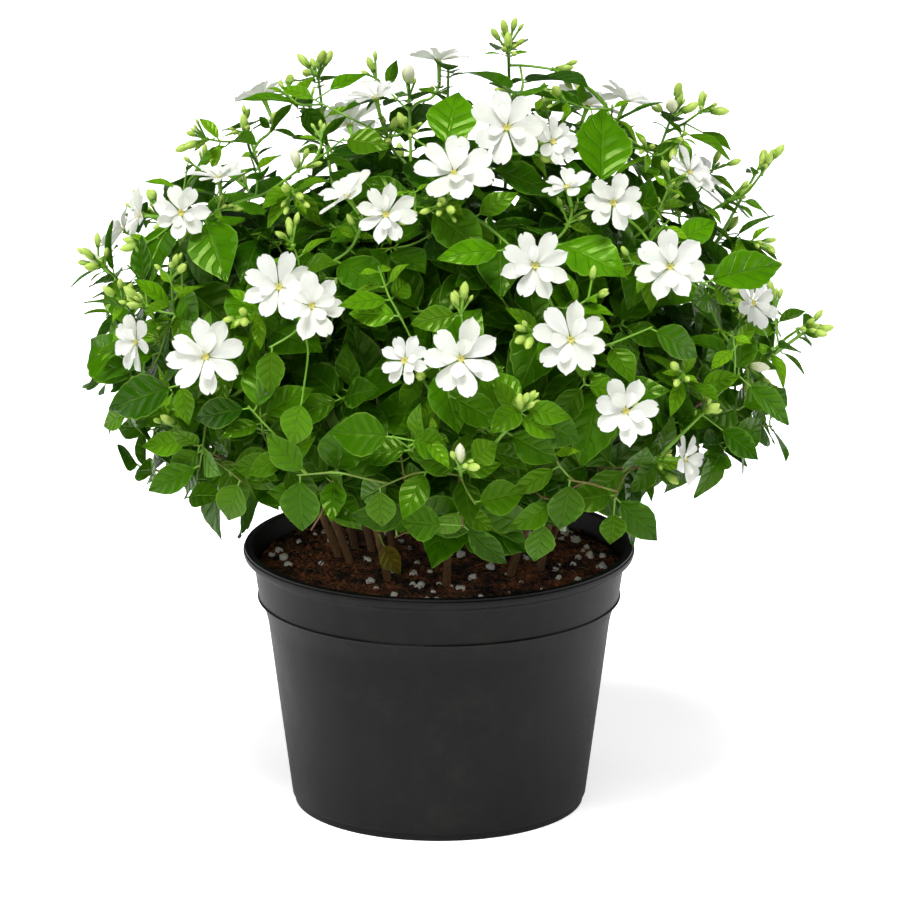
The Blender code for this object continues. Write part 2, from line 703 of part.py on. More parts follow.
    def is_clear(self, leaf, reach, owner=None):
        points, faces = leaf_blade(leaf)
        if lowest(points) < LOWEST_LEAF or crown_depth(points[-1]) > reach:
            return False
        if not self.thicket.clear(points, faces, ignore=owner):
            return False
        return self.thicket.clear(*beyond_root(points, faces, 1))

    def add_leaf(self, leaf, owner):
        leaf["owner"] = owner
        self.thicket.add(owner, *beyond_root(*leaf_blade(leaf), 1))
        self.leaves.append(leaf)

    def grow_single_leaves(self):
        """The leaves that stand out in the photograph, on the nearest branch or on a twig of their own."""
        for row in LEAVES_SEEN:
            foot, tip = on_crown(*row[:3]), on_crown(*row[3:6])
            beyond = (tip - foot).dot(SIGHT_AWAY)
            most = (tip - foot - SIGHT_AWAY * beyond).length * 0.45
            tip += SIGHT_AWAY * (max(min(beyond, most), -most) - beyond)
            if not self.grow_single_leaf(foot, tip, row[6] * PIXEL):
                self.left_out.append(f"the leaf at {row[3]} {row[4]}")

    def nearest_branch(self, point):
        """The nearest ring of a branch or place just inside its end, for a leaf to grow from, and its owner."""
        places = []
        for branch in self.branches:
            path = branch["path"]
            end = path[-1] - (path[-1] - path[-2]).normalized() * SHOOT_END
            for place in (*path[1:-1], end):
                places.append(((place - point).length, len(places), place, branch["owner"]))
        return min(places)[2:]

    def grow_single_leaf(self, foot, tip, width):
        face = (crown_normal(tip) * 0.6 - SIGHT_AWAY * 0.5 + UP * 0.25).normalized()
        stations = LARGE_LEAF_STATIONS if width > LARGE_LEAF_WIDTH else SMALL_LEAF_STATIONS
        for lift in LEAF_LIFT_TRIALS:
            here, there = foot - SIGHT_AWAY * lift, tip - SIGHT_AWAY * lift
            blade = (there - here).length
            site, owner = self.nearest_branch(here)
            gap = (site - here).length
            if gap < NEAREST_FOOT:
                way, length = (there - site).normalized(), (there - site).length * 1.04
                stalk = min(LEAF_PETIOLE + gap / length * 0.8, 0.35)
                leaf = self.new_leaf(site, way, face, length, width, stations, stalk)
                if self.is_clear(leaf, STANDING_OUT, owner):
                    self.add_leaf(leaf, owner)
                    return True
            way = (there - here).normalized()
            leaf = self.new_leaf(here, way, face, blade * 1.04, width, stations)
            if not self.is_clear(leaf, STANDING_OUT):
                continue
            lead = (way * 0.6 + crown_normal(here) * 0.7).normalized()
            self.add_leaf(leaf, "trial")
            shoot = self.grow_shoot(here, lead, "leaf")
            self.leaves.pop()
            self.thicket.drop("trial")
            if shoot:
                self.add_leaf(leaf, shoot["owner"])
                return True
        return False

    def grow_pair(self, node, axis, owner, length, turn, stations, reach=1.06):
        """Two opposite leaves at a node. Each is turned a little and made smaller until it is clear."""
        side = Quaternion(axis, turn) @ across(axis, crown_normal(node))
        face = (crown_normal(node) * 0.75 + UP * 0.6).normalized()
        for sign in (1, -1):
            for swing, scale in LEAF_TURN_TRIALS:
                out = Quaternion(axis, swing) @ (side * sign)
                way = (out * 0.85 + axis * 0.45 - UP * 0.22).normalized()
                tilt = Vector([self.draw.uniform(-0.2, 0.2) for _ in range(3)])
                width = length * scale * self.draw.uniform(0.60, 0.70)
                leaf = self.new_leaf(node, way, face + tilt, length * scale, width, stations)
                if self.is_clear(leaf, reach, owner):
                    self.add_leaf(leaf, owner)
                    break

    def grow_leaf_pairs(self):
        """Opposite pairs at the rings of every stem and shoot, each pair square to the last."""
        for branch in list(self.branches):
            path, owner = branch["path"], branch["owner"]
            turn = self.draw.uniform(0.9, 1.6)
            if branch["kind"] == "stem":
                pairs = ((-1, 0.022), (-2, 0.042), (-3, 0.046))
            elif branch["kind"] == "flower" and (path[-1] - path[0]).length > 0.024:
                pairs = ((2, 0.040),)
            else:
                continue
            for ring, size in pairs:
                node = path[ring].lerp(path[ring - 1], 0.08 if ring == -1 else 0.4)
                axis = (path[ring] - path[ring - 1]).normalized()
                if crown_depth(node) > 0.62:
                    size *= self.draw.uniform(0.92, 1.10)
                    self.grow_pair(node, axis, owner, size, turn, SMALL_LEAF_STATIONS, 1.12)
                turn += math.pi / 2

    def fill_crown(self):
        """Leaf shoots where the crown is still bare, spread evenly over it by the golden angle."""
        golden = math.pi * (3 - math.sqrt(5))
        for k in range(FILL_POINTS):
            height = math.asin(-0.62 + 1.60 * (k + 0.5) / FILL_POINTS)
            point = crown_point(k * golden, height, 0.94)
            if point.z < LOWEST_LEAF + 0.014 or self.filled(point):
                continue
            way = (crown_normal(point) * 0.8 + UP * 0.35).normalized()
            shoot = self.grow_shoot(point, way, "leaf")
            if shoot is None:
                continue
            turn = self.draw.uniform(0, math.pi)
            size = FILL_LEAF * self.draw.uniform(0.9, 1.1)
            path, owner = shoot["path"], shoot["owner"]
            self.grow_pair(point, way, owner, size, turn, SMALL_LEAF_STATIONS)
            inner = path[0].lerp(path[1], 0.7)
            if crown_depth(inner) > 0.70:
                axis = (path[1] - path[0]).normalized()
                self.grow_pair(inner, axis, owner, size, turn + math.pi / 2, SMALL_LEAF_STATIONS)

    def filled(self, point):
        near_leaf = any((leaf_point(leaf, 0.5, 0.0) - point).length < FILL_DISTANCE for leaf in self.leaves)
        return near_leaf or any((bloom["throat"] - point).length < FILL_DISTANCE for bloom in self.blooms)


def lowest(points):
    return min(p.z for p in points)


def taper(path, foot, tip):
    """Radii that shrink evenly along a path."""
    last = len(path) - 1
    return [foot + (tip - foot) * k / last for k in range(last + 1)]


def branch_tube(branch):
    """The path, radii and number of sides of a branch. A stem starts in the soil, and a flower's shoot ends in
    its calyx, a small flared cup with a flat top."""
    path = branch["path"]
    if branch["kind"] == "stem":
        radii = taper(path, STEM_FOOT_RADIUS, STEM_TIP_RADIUS)
        return [path[0] - UP * (STEM_HOLE_DEPTH - CLEARANCE), *path], [radii[0], *radii], 4
    radii = taper(path, SHOOT_FOOT_RADIUS, SHOOT_TIP_RADIUS)
    if branch["kind"] == "flower":
        return [*path, path[-1] + branch["way"] * CALYX_LENGTH], [*radii, CALYX_RADIUS], 3
    return path, radii, 3


def clear_scene():
    for thing in list(bpy.data.objects):
        bpy.data.objects.remove(thing, do_unlink=True)


def make_material(name, colour, roughness):
    """A matt or glossy plain finish, from an sRGB colour written as six hex digits."""
    material = bpy.data.materials.new(name)
    material.use_nodes = True
    shader = material.node_tree.nodes["Principled BSDF"]
    channels = [int(colour[i : i + 2], 16) / 255 for i in (0, 2, 4)]
    linear = [c / 12.92 if c <= 0.04045 else ((c + 0.055) / 1.055) ** 2.4 for c in channels]
    shader.inputs["Base Color"].default_value = (*linear, 1.0)
    shader.inputs["Roughness"].default_value = roughness
    shader.inputs["Metallic"].default_value = 0.0
    material.diffuse_color = (*linear, 1.0)
    return material


def make_object(name, points, faces, material, collection=None):
    mesh = bpy.data.meshes.new(name)
    mesh.from_pydata([tuple(p) for p in points], [], faces)
    mesh.validate()
    if material:
        mesh.materials.append(material)
    thing = bpy.data.objects.new(name, mesh)
    (collection or bpy.context.scene.collection).objects.link(thing)
    return thing


def turned(profile, sides):
    """Points and faces of a profile turned round Z. A profile point on the axis closes its end."""
    points, faces, rings = [], [], []
    for radius, height in profile:
        if radius == 0.0:
            rings.append([len(points)] * sides)
            points.append(Vector((0.0, 0.0, height)))
            continue
        rings.append([len(points) + k for k in range(sides)])
        for k in range(sides):
            angle = 2 * math.pi * k / sides
            points.append(Vector((radius * math.cos(angle), radius * math.sin(angle), height)))
    for low, high in zip(rings, rings[1:]):
        for k in range(sides):
            after = (k + 1) % sides
            face = [low[k], low[after], high[after], high[k]]
            faces.append(tuple(dict.fromkeys(face)))
    return points, faces


def inner_pot_profile():
    """The inside of the pot from the floor up to the lip, as radius and height."""
    return (
        (WALL_FOOT[0] - POT_WALL, POT_FLOOR),
        (WALL_TOP[0] - POT_WALL, WALL_TOP[1]),
        (COLLAR_CHAMFER[0] - POT_WALL, COLLAR_CHAMFER[1] + POT_WALL),
        (COLLAR_LOW[0] - POT_WALL, COLLAR_LOW[1] + POT_WALL),
        (COLLAR_TOP[0] - POT_WALL, COLLAR_TOP[1]),
    )


def make_pot(material):
    """The black moulded pot: foot, tapered wall, collar and flat lip outside, a plain shell inside, open above."""
    outer = [
        (0.0, 0.0),
        (FOOT_RADIUS, 0.0),
        (FOOT_RADIUS, WALL_FOOT[1] - FOOT_STEP),
        WALL_FOOT,
        WALL_TOP,
        COLLAR_CHAMFER,
        COLLAR_LOW,
        COLLAR_TOP,
        (RIM_RADIUS, POT_HEIGHT - LIP_DEPTH),
        (RIM_RADIUS, POT_HEIGHT - LIP_EDGE),
        (RIM_RADIUS - LIP_EDGE, POT_HEIGHT),
        (RIM_RADIUS - LIP_WIDTH, POT_HEIGHT),
    ]
    profile = outer + list(reversed(inner_pot_profile())) + [(0.0, POT_FLOOR)]
    points, faces = turned(profile, POT_SIDES)
    pot = make_object("pot", points, faces, material)
    cut(pot, make_drain_cutter())
    return pot


def make_drain_cutter():
    """Round holes in a ring through the pot's floor."""
    points, faces = [], []
    for k in range(DRAIN_HOLES):
        angle = 2 * math.pi * (k + 0.5) / DRAIN_HOLES
        centre = Vector((math.cos(angle), math.sin(angle), 0.0)) * DRAIN_RING
        add_post(points, faces, centre, -0.01, POT_FLOOR + 0.01, DRAIN_RADIUS, DRAIN_SIDES)
    return make_cutter("drain_cutter", points, faces)


def add_post(points, faces, centre, low, high, radius, sides):
    """Adds an upright closed prism to a list of points and faces."""
    start = len(points)
    path = [Vector((centre.x, centre.y, low)), Vector((centre.x, centre.y, high))]
    more, sides_of = tube(path, (radius, radius), sides)
    points += more
    faces += [tuple(i + start for i in face) for face in sides_of]


def make_cutter(name, points, faces):
    cutter = make_object(name, points, faces, None)
    cutter.hide_render = True
    cutter.display_type = "WIRE"
    return cutter


def cut(thing, cutter):
    modifier = thing.modifiers.new("cut", "BOOLEAN")
    modifier.operation = "DIFFERENCE"
    modifier.solver = "EXACT"
    modifier.object = cutter


def soil_height(x, y):
    """The soil's surface: a low mound with lumps."""
    mound = SOIL_MOUND * math.cos(min(math.hypot(x, y) / 0.09, 1.0) * math.pi / 2)
    lumps = 0.0008 * math.sin(x * 210 + 1.0) * math.cos(y * 190) + 0.0005 * math.sin(x * 430 - y * 370)
    return SOIL_TOP - 0.002 + mound + lumps


def make_soil(jasmine, material):
    """The soil fills the pot up to a little under its lip, with a plain hole where each stem stands."""
    profile = [(0.0, POT_FLOOR + SOIL_GAP)]
    for radius, height in inner_pot_profile()[:4]:
        profile.append((radius - SOIL_GAP, height + (SOIL_GAP if radius < WALL_TOP[0] - POT_WALL else 0.0)))
    edge = COLLAR_TOP[0] - POT_WALL - 0.0022
    profile.append((edge, SOIL_TOP - 0.0035))
    profile += [(edge * share, SOIL_TOP) for share in (0.97, 0.78, 0.55, 0.30)] + [(0.0, SOIL_TOP)]
    points, faces = turned(profile, SOIL_SIDES)
    for point in points:
        if point.z == SOIL_TOP:
            point.z = soil_height(point.x, point.y)
    soil = make_object("soil", points, faces, material)
    posts, sides_of = [], []
    for stem in jasmine.stems():
        root = stem["path"][0]
        radius = STEM_FOOT_RADIUS * 1.25 + CLEARANCE
        add_post(posts, sides_of, root, SOIL_TOP - STEM_HOLE_DEPTH, SOIL_TOP + 0.02, radius, STEM_HOLE_SIDES)
    cut(soil, make_cutter("stem_cutter", posts, sides_of))
    return soil


def make_leafy_stem(jasmine, stem, material):
    """Joins a stem with its shoots, leaves and buds in one body, with one Boolean union on a collection. The
    MANIFOLD solver is used because EXACT loses pieces where a pair of leaves shares its foot."""
    owner = stem["owner"]
    repeats = bpy.data.collections.new(owner + "_repeats")
    bpy.context.scene.collection.children.link(repeats)
    shoots = [branch for branch in jasmine.branches if branch["owner"] == owner and branch is not stem]
    shapes = [tube(*branch_tube(shoot)) for shoot in shoots]
    shapes += [leaf_blade(leaf) for leaf in jasmine.leaves if leaf["owner"] == owner]
    shapes += [bud_blade(bud) for bud in jasmine.buds if bud["owner"] == owner]
    for points, faces in shapes:
        make_object(owner + "_repeat", points, faces, None, repeats)
    body = make_object(owner, *tube(*branch_tube(stem)), material)
    modifier = body.modifiers.new("join", "BOOLEAN")
    modifier.operation = "UNION"
    modifier.operand_type = "COLLECTION"
    modifier.solver = "MANIFOLD"
    modifier.collection = repeats
    apply_modifiers(body)
    for thing in list(repeats.objects):
        bpy.data.objects.remove(thing, do_unlink=True)
    bpy.data.collections.remove(repeats)
    return body


def apply_modifiers(thing):
    bpy.context.view_layer.update()
    graph = bpy.context.evaluated_depsgraph_get()
    mesh = bpy.data.meshes.new_from_object(thing.evaluated_get(graph))
    thing.modifiers.clear()
    thing.data = mesh


def shade_round(thing):
    thing.data.shade_smooth()
    thing.data.set_sharp_from_angle(angle=math.radians(35))


def main():
    clear_scene()
    jasmine = Jasmine()
    jasmine.grow()
    plastic = make_material("pot_plastic", "2b2b2b", 0.45)
    peat = make_material("peat_soil", "33241a", 0.95)
    green = make_material("leaf_green", "4c7610", 0.42)
    white = make_material("petal_white", "f2f3ea", 0.60)
    shade_round(make_pot(plastic))
    shade_round(make_soil(jasmine, peat))
    for stem in jasmine.stems():
        make_leafy_stem(jasmine, stem, green)
    for bloom in jasmine.blooms:
        make_object(bloom["name"], *bloom_blade(bloom), white)
    print(len(jasmine.stems()), "stems,", len(jasmine.branches), "branches,", len(jasmine.leaves), "leaves,")
    print(len(jasmine.buds), "buds,", len(jasmine.blooms), "blooms; left out:", jasmine.left_out)


main()
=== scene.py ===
# %% [markdown]
# # A potted Arabian jasmine in flower
# A young Jasminum sambac: some twenty thin stems out of the soil of a black nursery pot, opposite glossy leaves, and
# white double blooms held out on green tubes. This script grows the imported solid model's plant again by the same
# rules, and gives every stem, leaf, petal and bud its fine shape. Metres, +Z up, the first side looks along -Y.

import random
from collections import Counter
from functools import partial
from math import asin, cos, hypot, pi, radians, sin, sqrt
from types import SimpleNamespace

import bmesh
import bpy
import numpy as np
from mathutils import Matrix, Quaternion, Vector, noise
from mathutils.bvhtree import BVHTree
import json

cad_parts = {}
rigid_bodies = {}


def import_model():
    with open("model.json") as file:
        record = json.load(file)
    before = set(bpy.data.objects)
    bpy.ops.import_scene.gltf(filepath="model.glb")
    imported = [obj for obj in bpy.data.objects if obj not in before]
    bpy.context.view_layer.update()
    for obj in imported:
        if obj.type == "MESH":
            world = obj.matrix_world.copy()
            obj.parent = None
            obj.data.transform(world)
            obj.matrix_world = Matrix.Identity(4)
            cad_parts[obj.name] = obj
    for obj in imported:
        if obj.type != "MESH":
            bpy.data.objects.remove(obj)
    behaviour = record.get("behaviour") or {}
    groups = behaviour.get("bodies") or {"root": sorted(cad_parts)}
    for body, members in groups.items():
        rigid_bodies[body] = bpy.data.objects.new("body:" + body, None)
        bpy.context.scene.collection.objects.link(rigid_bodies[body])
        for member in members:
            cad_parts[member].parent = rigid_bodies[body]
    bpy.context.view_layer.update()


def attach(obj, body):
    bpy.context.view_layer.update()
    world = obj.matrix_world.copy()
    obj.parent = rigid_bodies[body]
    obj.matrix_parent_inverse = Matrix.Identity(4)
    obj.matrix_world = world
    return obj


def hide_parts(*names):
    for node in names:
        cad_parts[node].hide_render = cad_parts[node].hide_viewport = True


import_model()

# %% [markdown]
# ## The camera
# The places of the stems, leaves and blooms were read off in the camera's picture, so it comes first. It stands far
# off and looks down a little, so one scale holds: a pixel is 0.511 mm at the pot's axis. A point of the plant is
# found by its pixel and its depth behind the axis.

# %% The camera and the lines of sight through its pixels
SCENE = bpy.context.scene
UP = Vector((0.0, 0.0, 1.0))
POT_HEIGHT = 0.1355
RIM_CENTRE = Vector((0.0, 0.0, POT_HEIGHT))
FRAME_PIXELS = 900
PIXEL = 0.000511
MIDDLE_PIXEL = 450.0
RIM_PIXEL_X = 439.0
RIM_PIXEL_Y = 543.7
VIEW_DROP = radians(15.7)
CAMERA_AWAY = 4.0
SIGHT_RIGHT = Vector((1.0, 0.0, 0.0))
SIGHT_UP = Vector((0.0, sin(VIEW_DROP), cos(VIEW_DROP)))
SIGHT_AWAY = Vector((0.0, cos(VIEW_DROP), -sin(VIEW_DROP)))


def sight(px, py):
    """The line of sight through a pixel: its point in the plane of the pot's axis, and its step for each metre."""
    middle = SIGHT_RIGHT * (MIDDLE_PIXEL - RIM_PIXEL_X) + SIGHT_UP * (RIM_PIXEL_Y - MIDDLE_PIXEL)
    offset = SIGHT_RIGHT * (px - MIDDLE_PIXEL) + SIGHT_UP * (MIDDLE_PIXEL - py)
    return RIM_CENTRE + (middle + offset) * PIXEL, SIGHT_AWAY + offset * PIXEL / CAMERA_AWAY


def seen_at(px, py, depth):
    """The point at a pixel that lies this far behind the pot's axis."""
    start, step = sight(px, py)
    return start + step * depth


def in_view(right, up, forward):
    """A direction given as the picture shows it: to the right, up, and towards the camera."""
    return (SIGHT_RIGHT * right + SIGHT_UP * up - SIGHT_AWAY * forward).normalized()


def new_object(name, data, collection=SCENE.collection):
    """An object with the given data, in the scene or in a collection of its own."""
    thing = bpy.data.objects.new(name, data)
    collection.objects.link(thing)
    return thing


def new_mesh(name, points, edges, faces):
    """A smooth-shaded mesh."""
    mesh = bpy.data.meshes.new(name)
    mesh.from_pydata(points, edges, faces)
    mesh.shade_smooth()
    return mesh


def facing_turn(way):
    """The rotation of a camera or light that looks this way."""
    return way.to_track_quat("-Z", "Y").to_euler()


camera_data = bpy.data.cameras.new("camera")
camera_data.lens = camera_data.sensor_width * CAMERA_AWAY / (FRAME_PIXELS * PIXEL)
camera_data.clip_end = 20.0
SCENE.camera = new_object("camera", camera_data)
SCENE.camera.location = sight(MIDDLE_PIXEL, MIDDLE_PIXEL)[0] - SIGHT_AWAY * CAMERA_AWAY
SCENE.camera.rotation_euler = facing_turn(SIGHT_AWAY)
print("the lens is", round(camera_data.lens), "mm")

# %% [markdown]
# ## What the picture gives
# Each row is one thing that can be told apart in the picture. A tip, a throat or a leaf's foot is a pixel with a
# depth or a lift; a direction is how far it points to the right, up and forward; sizes are in metres, and a leaf's
# width is in pixels. The far side has no picture, so it is given by angles.

# %% Stems and blooms
STEMS_SEEN = (
    (98, 263, -0.005, 165, 335, -0.01),
    (168, 419, -0.02, 235, 470, -0.02),
    (245, 122, -0.005, 270, 215, -0.01),
    (318, 76, -0.01, 328, 190, -0.01),
    (409, 96, -0.02, 412, 200, -0.04),
    (509, 44, -0.005, 520, 150, -0.01),
    (671, 118, -0.01, 640, 215, -0.02),
    (760, 166, 0, 715, 265, -0.01),
    (806, 331, -0.01, 735, 395, -0.02),
    (655, 464, -0.09, 610, 470, -0.08),
    (461, 470, -0.135, 458, 520, -0.115),
    (285, 395, -0.12, 320, 450, -0.1),
)
# Stems on the far side: azimuth from straight behind and height angle, in degrees
STEMS_BEHIND = ((-72, 22), (-38, 8), (-34, 46), (2, 24), (4, 66), (40, 12), (36, 48), (74, 26))

# Blooms: pixel x and y of the throat, lift, facing right, up and forward, diameter
BLOOMS_SEEN = (
    (141, 215, 0, -0.95, 0.1, 0.3, 0.028),
    (181, 213, 0.004, 0.05, 0.1, 1, 0.028),
    (219, 178, 0, -0.1, 0.9, 0.35, 0.027),
    (137, 342, 0, -0.75, -0.1, 0.6, 0.03),
    (206, 357, 0.008, -0.1, 0.1, 1, 0.038),
    (279, 287, 0, 0, 0.1, 1, 0.036),
    (311, 306, 0.012, 0.3, 0.1, 1, 0.033),
    (348, 197, 0.004, -0.5, 0.75, 0.4, 0.032),
    (386, 215, 0.006, 0, 0.15, 1, 0.03),
    (376, 98, 0.004, -0.2, 0.85, 0.35, 0.031),
    (454, 174, 0.012, 0, 0.55, 0.85, 0.041),
    (405, 361, 0, -0.25, 0.15, 1, 0.025),
    (461, 359, 0.014, 0.05, 0.1, 1, 0.038),
    (507, 128, 0.012, 0, 0.2, 1, 0.038),
    (552, 142, 0, 0.5, 0.3, 0.8, 0.026),
    (535, 266, 0.004, 0.05, 0.05, 1, 0.035),
    (567, 188, 0, -0.2, 0.8, 0.5, 0.026),
    (613, 203, 0.006, 0.1, 0.1, 1, 0.03),
    (571, 340, 0.008, 0, 0.05, 1, 0.037),
    (689, 173, 0.004, 0.6, 0.6, 0.5, 0.028),
    (670, 267, 0.01, 0, 0.1, 1, 0.037),
    (626, 411, 0.008, 0.1, 0, 1, 0.034),
    (684, 459, 0, 0.85, 0, 0.5, 0.026),
    (752, 303, 0, 0.7, 0.1, 0.7, 0.028),
)
# Blooms on the far side, from its left to its right: their height angles in degrees
BLOOM_HEIGHTS_BEHIND = (18, 52, 2, 34, 66, 10, 44, 24, 56)


# %% Leaves that stand out, and buds
# Single leaves that stand out: pixel x and y and lift of the foot, then of the tip, and the width in pixels
LEAVES_SEEN = (
    (138, 290, 0, 137, 237, 0, 24),
    (178, 385, 0.004, 107, 408, 0, 45),
    (200, 465, 0, 150, 491, 0, 30),
    (240, 480, 0.004, 225, 523, 0.004, 35),
    (315, 100, 0, 284, 90, 0, 18),
    (330, 97, 0, 364, 68, 0, 20),
    (445, 150, -0.01, 458, 88, -0.004, 54),
    (598, 185, -0.006, 606, 104, -0.002, 58),
    (690, 142, 0, 732, 145, 0, 20),
    (703, 283, 0.006, 780, 262, 0, 44),
    (738, 375, 0, 745, 320, 0.004, 36),
    (740, 385, 0, 790, 424, 0, 26),
    (700, 422, 0, 755, 457, 0, 28),
    (650, 328, 0.004, 705, 355, 0.004, 34),
    (615, 497, 0, 656, 540, 0, 34),
    (598, 500, 0.004, 611, 543, 0.004, 29),
    (570, 480, 0, 561, 531, 0.002, 39),
    (545, 520, 0.002, 535, 566, 0, 31),
    (463, 525, 0.004, 507, 565, 0, 26),
    (460, 513, 0.008, 403, 523, 0.008, 37),
    (474, 502, 0.01, 525, 493, 0.006, 38),
    (380, 487, 0, 382, 529, 0.002, 31),
    (300, 475, 0.002, 301, 533, 0.004, 42),
    (394, 437, 0.006, 330, 432, 0.008, 50),
    (302, 400, 0.004, 292, 446, 0.006, 43),
    (250, 408, 0, 190, 418, 0.002, 32),
    (272, 346, 0, 270, 393, 0.004, 30),
    (400, 316, 0, 350, 312, 0.004, 28),
    (461, 315, 0.002, 412, 322, 0.004, 28),
    (449, 395, 0.004, 503, 424, 0.006, 34),
    (505, 250, 0, 440, 256, 0.004, 30),
    (532, 430, 0.004, 580, 440, 0.004, 37),
    (400, 442, -0.002, 447, 447, 0.004, 32),
    (448, 447, 0.002, 494, 445, 0.004, 38),
    (668, 232, -0.002, 714, 220, 0, 30),
    (698, 302, 0, 733, 298, 0, 36),
    (342, 140, 0, 386, 142, 0.002, 40),
)

# Buds: pixel x and y of the tip, lift, pointing right, up and forward, length
BUDS_SEEN = (
    (85, 252, 0, -0.8, 0.6, 0.2, 0.011),
    (126, 304, 0, -1, 0.1, 0.3, 0.009),
    (160, 415, 0, -0.8, 0.5, 0.3, 0.009),
    (243, 113, 0, -0.1, 1, 0.2, 0.009),
    (293, 147, 0.004, -0.2, 0.9, 0.5, 0.011),
    (324, 50, 0, 0.2, 1, 0.1, 0.01),
    (303, 72, 0, -0.5, 0.9, 0.1, 0.009),
    (409, 64, 0.004, 0, 1, 0.2, 0.013),
    (508, 31, 0, 0, 1, 0.1, 0.009),
    (574, 67, 0, 1, 0.1, 0.2, 0.009),
    (680, 82, 0, 0.3, 1, 0.1, 0.01),
    (672, 100, 0.002, 0.1, 1, 0.3, 0.013),
    (652, 104, 0, -0.4, 1, 0.2, 0.01),
    (703, 90, 0, 0.1, 1, 0.1, 0.009),
    (730, 111, 0, 1, 0.3, 0.2, 0.01),
    (764, 152, 0, 0.1, 1, 0.2, 0.009),
    (820, 325, 0, 1, 0.2, 0.2, 0.009),
    (770, 368, 0.002, 0.9, -0.1, 0.4, 0.011),
    (460, 443, 0.01, 0, 1, 0.5, 0.011),
    (398, 112, 0.004, -0.4, 0.9, 0.5, 0.009),
    (440, 198, 0.012, -0.2, 0.3, 0.9, 0.009),
    (520, 393, 0.008, 0, 0.8, 0.6, 0.01),
    (720, 404, 0.004, 0.7, 0.4, 0.5, 0.01),
)

print("seen:", [len(rows) for rows in (STEMS_SEEN, BLOOMS_SEEN, LEAVES_SEEN, BUDS_SEEN)])

# %% [markdown]
# ## The crown
# The leaves and blooms of a pruned plant lie on a rounded crown. It could be sculpted, but a rule is easier to grow
# on: an upright egg, on which any line of sight ends and any point has an outward direction.

# %% The crown as an egg
CROWN_CENTRE = Vector((0.0, 0.0, 0.2485))
CROWN_REACH = Vector((0.172, 0.158, 0.134))
LOWEST_LEAF = 0.1395


def by_reach(vector):
    """A vector's three parts as shares of the crown's reach."""
    return [vector[i] / CROWN_REACH[i] for i in range(3)]


def on_crown(px, py, lift):
    """Where the sight through a pixel meets the crown's front or passes it, lifted towards the camera."""
    start, step = sight(px, py)
    near, pace = by_reach(start - CROWN_CENTRE), by_reach(step)
    a = sum(p * p for p in pace)
    b = sum(n * p for n, p in zip(near, pace))
    c = sum(n * n for n in near) - 1.0
    inside = max(b * b - a * c, 0.0)
    return start + step * ((-b - sqrt(inside)) / a - lift)


def crown_normal(point):
    """The outward direction of the crown at or near a point."""
    offset = point - CROWN_CENTRE
    return Vector([offset[i] / CROWN_REACH[i] ** 2 for i in range(3)]).normalized()


def crown_depth(point):
    """1 on the crown's surface, less inside it."""
    return sqrt(sum(share**2 for share in by_reach(point - CROWN_CENTRE)))


def crown_point(azimuth, height, scale=1.0):
    """A point of the crown by its azimuth from straight behind and its height angle, in radians."""
    flat = cos(height)
    way = Vector((sin(azimuth) * flat, cos(azimuth) * flat, sin(height)))
    return CROWN_CENTRE + Vector([way[i] * CROWN_REACH[i] * scale for i in range(3)])


print("the crown ends", round(CROWN_CENTRE.z + CROWN_REACH.z, 3), "m up")

# %% [markdown]
# ## Paths and tubes
# A stem is a cubic curve from root to tip, kept as a few straight steps, because a jasmine's stem does bend at its
# nodes. While the plant grows, every stem and shoot is tried as a plain closed tube of few sides.

# %% Curves, paths and plain tubes
def across(direction, towards=UP):
    """The unit vector nearest to `towards` that is square to a direction."""
    flat = towards - direction * towards.dot(direction)
    if flat.length < 0.05:
        flat = Vector((1.0, 0.0, 0.0)) - direction * direction.x
    return flat.normalized()


def curve_at(controls, t):
    """A point of the cubic curve through four control points."""
    a, b, c, d = controls
    s = 1.0 - t
    return a * s**3 + b * (3 * s * s * t) + c * (3 * s * t * t) + d * t**3


def curve_path(controls, steps):
    """Evenly spaced points of a curve. Shoots and leaves grow at these points or between them."""
    return [curve_at(controls, k / steps) for k in range(steps + 1)]


def path_at(path, t):
    """A point of a path and its direction there, at a share of the path's steps."""
    place = min(t * (len(path) - 1), len(path) - 1.001)
    k = int(place)
    return path[k].lerp(path[k + 1], place - k), (path[k + 1] - path[k]).normalized()


def way_into(path, ring=-1):
    """The direction in which a path comes to one of its points."""
    return (path[ring] - path[ring - 1]).normalized()


def tube(path, radii, sides):
    """A closed tube along a path, as points and faces. Its rings turn with the path and don't twist."""
    points, faces = [], []
    way = (path[1] - path[0]).normalized()
    side = across(way, Vector((0.3, 1.0, 0.2)))
    for i, (centre, radius) in enumerate(zip(path, radii)):
        after, before = path[min(i + 1, len(path) - 1)], path[max(i - 1, 0)]
        turned = (after - before).normalized()
        side = way.rotation_difference(turned) @ side
        way = turned
        other = way.cross(side)
        for k in range(sides):
            angle = 2 * pi * k / sides
            points.append(centre + (side * cos(angle) + other * sin(angle)) * radius)
    for i in range(len(path) - 1):
        for k in range(sides):
            a, b = i * sides + k, i * sides + (k + 1) % sides
            faces.append((a, b, b + sides, a + sides))
    last = (len(path) - 1) * sides
    faces.append(tuple(range(sides - 1, -1, -1)))
    faces.append(tuple(last + k for k in range(sides)))
    return points, faces


print("a stem of five steps has", len(tube([UP * k for k in range(6)], [1.0] * 6, 4)[1]), "faces")

# %% [markdown]
# ## The rough leaf, bloom and bud
# Each piece has a rough form of a handful of faces, as in the solid model. The rough forms decide who has room, and
# the fine ones, made later, keep to them. A leaf has a foot, a direction, a side that its face looks to, a length,
# width and stalk, and it folds, droops and waves.

# %% Sizes of leaves, blooms and buds
SHOOT_END = 0.0014
LEAF_KEEL = 0.0008
LEAF_PETIOLE = 0.1
MOST_DROOP = 0.26
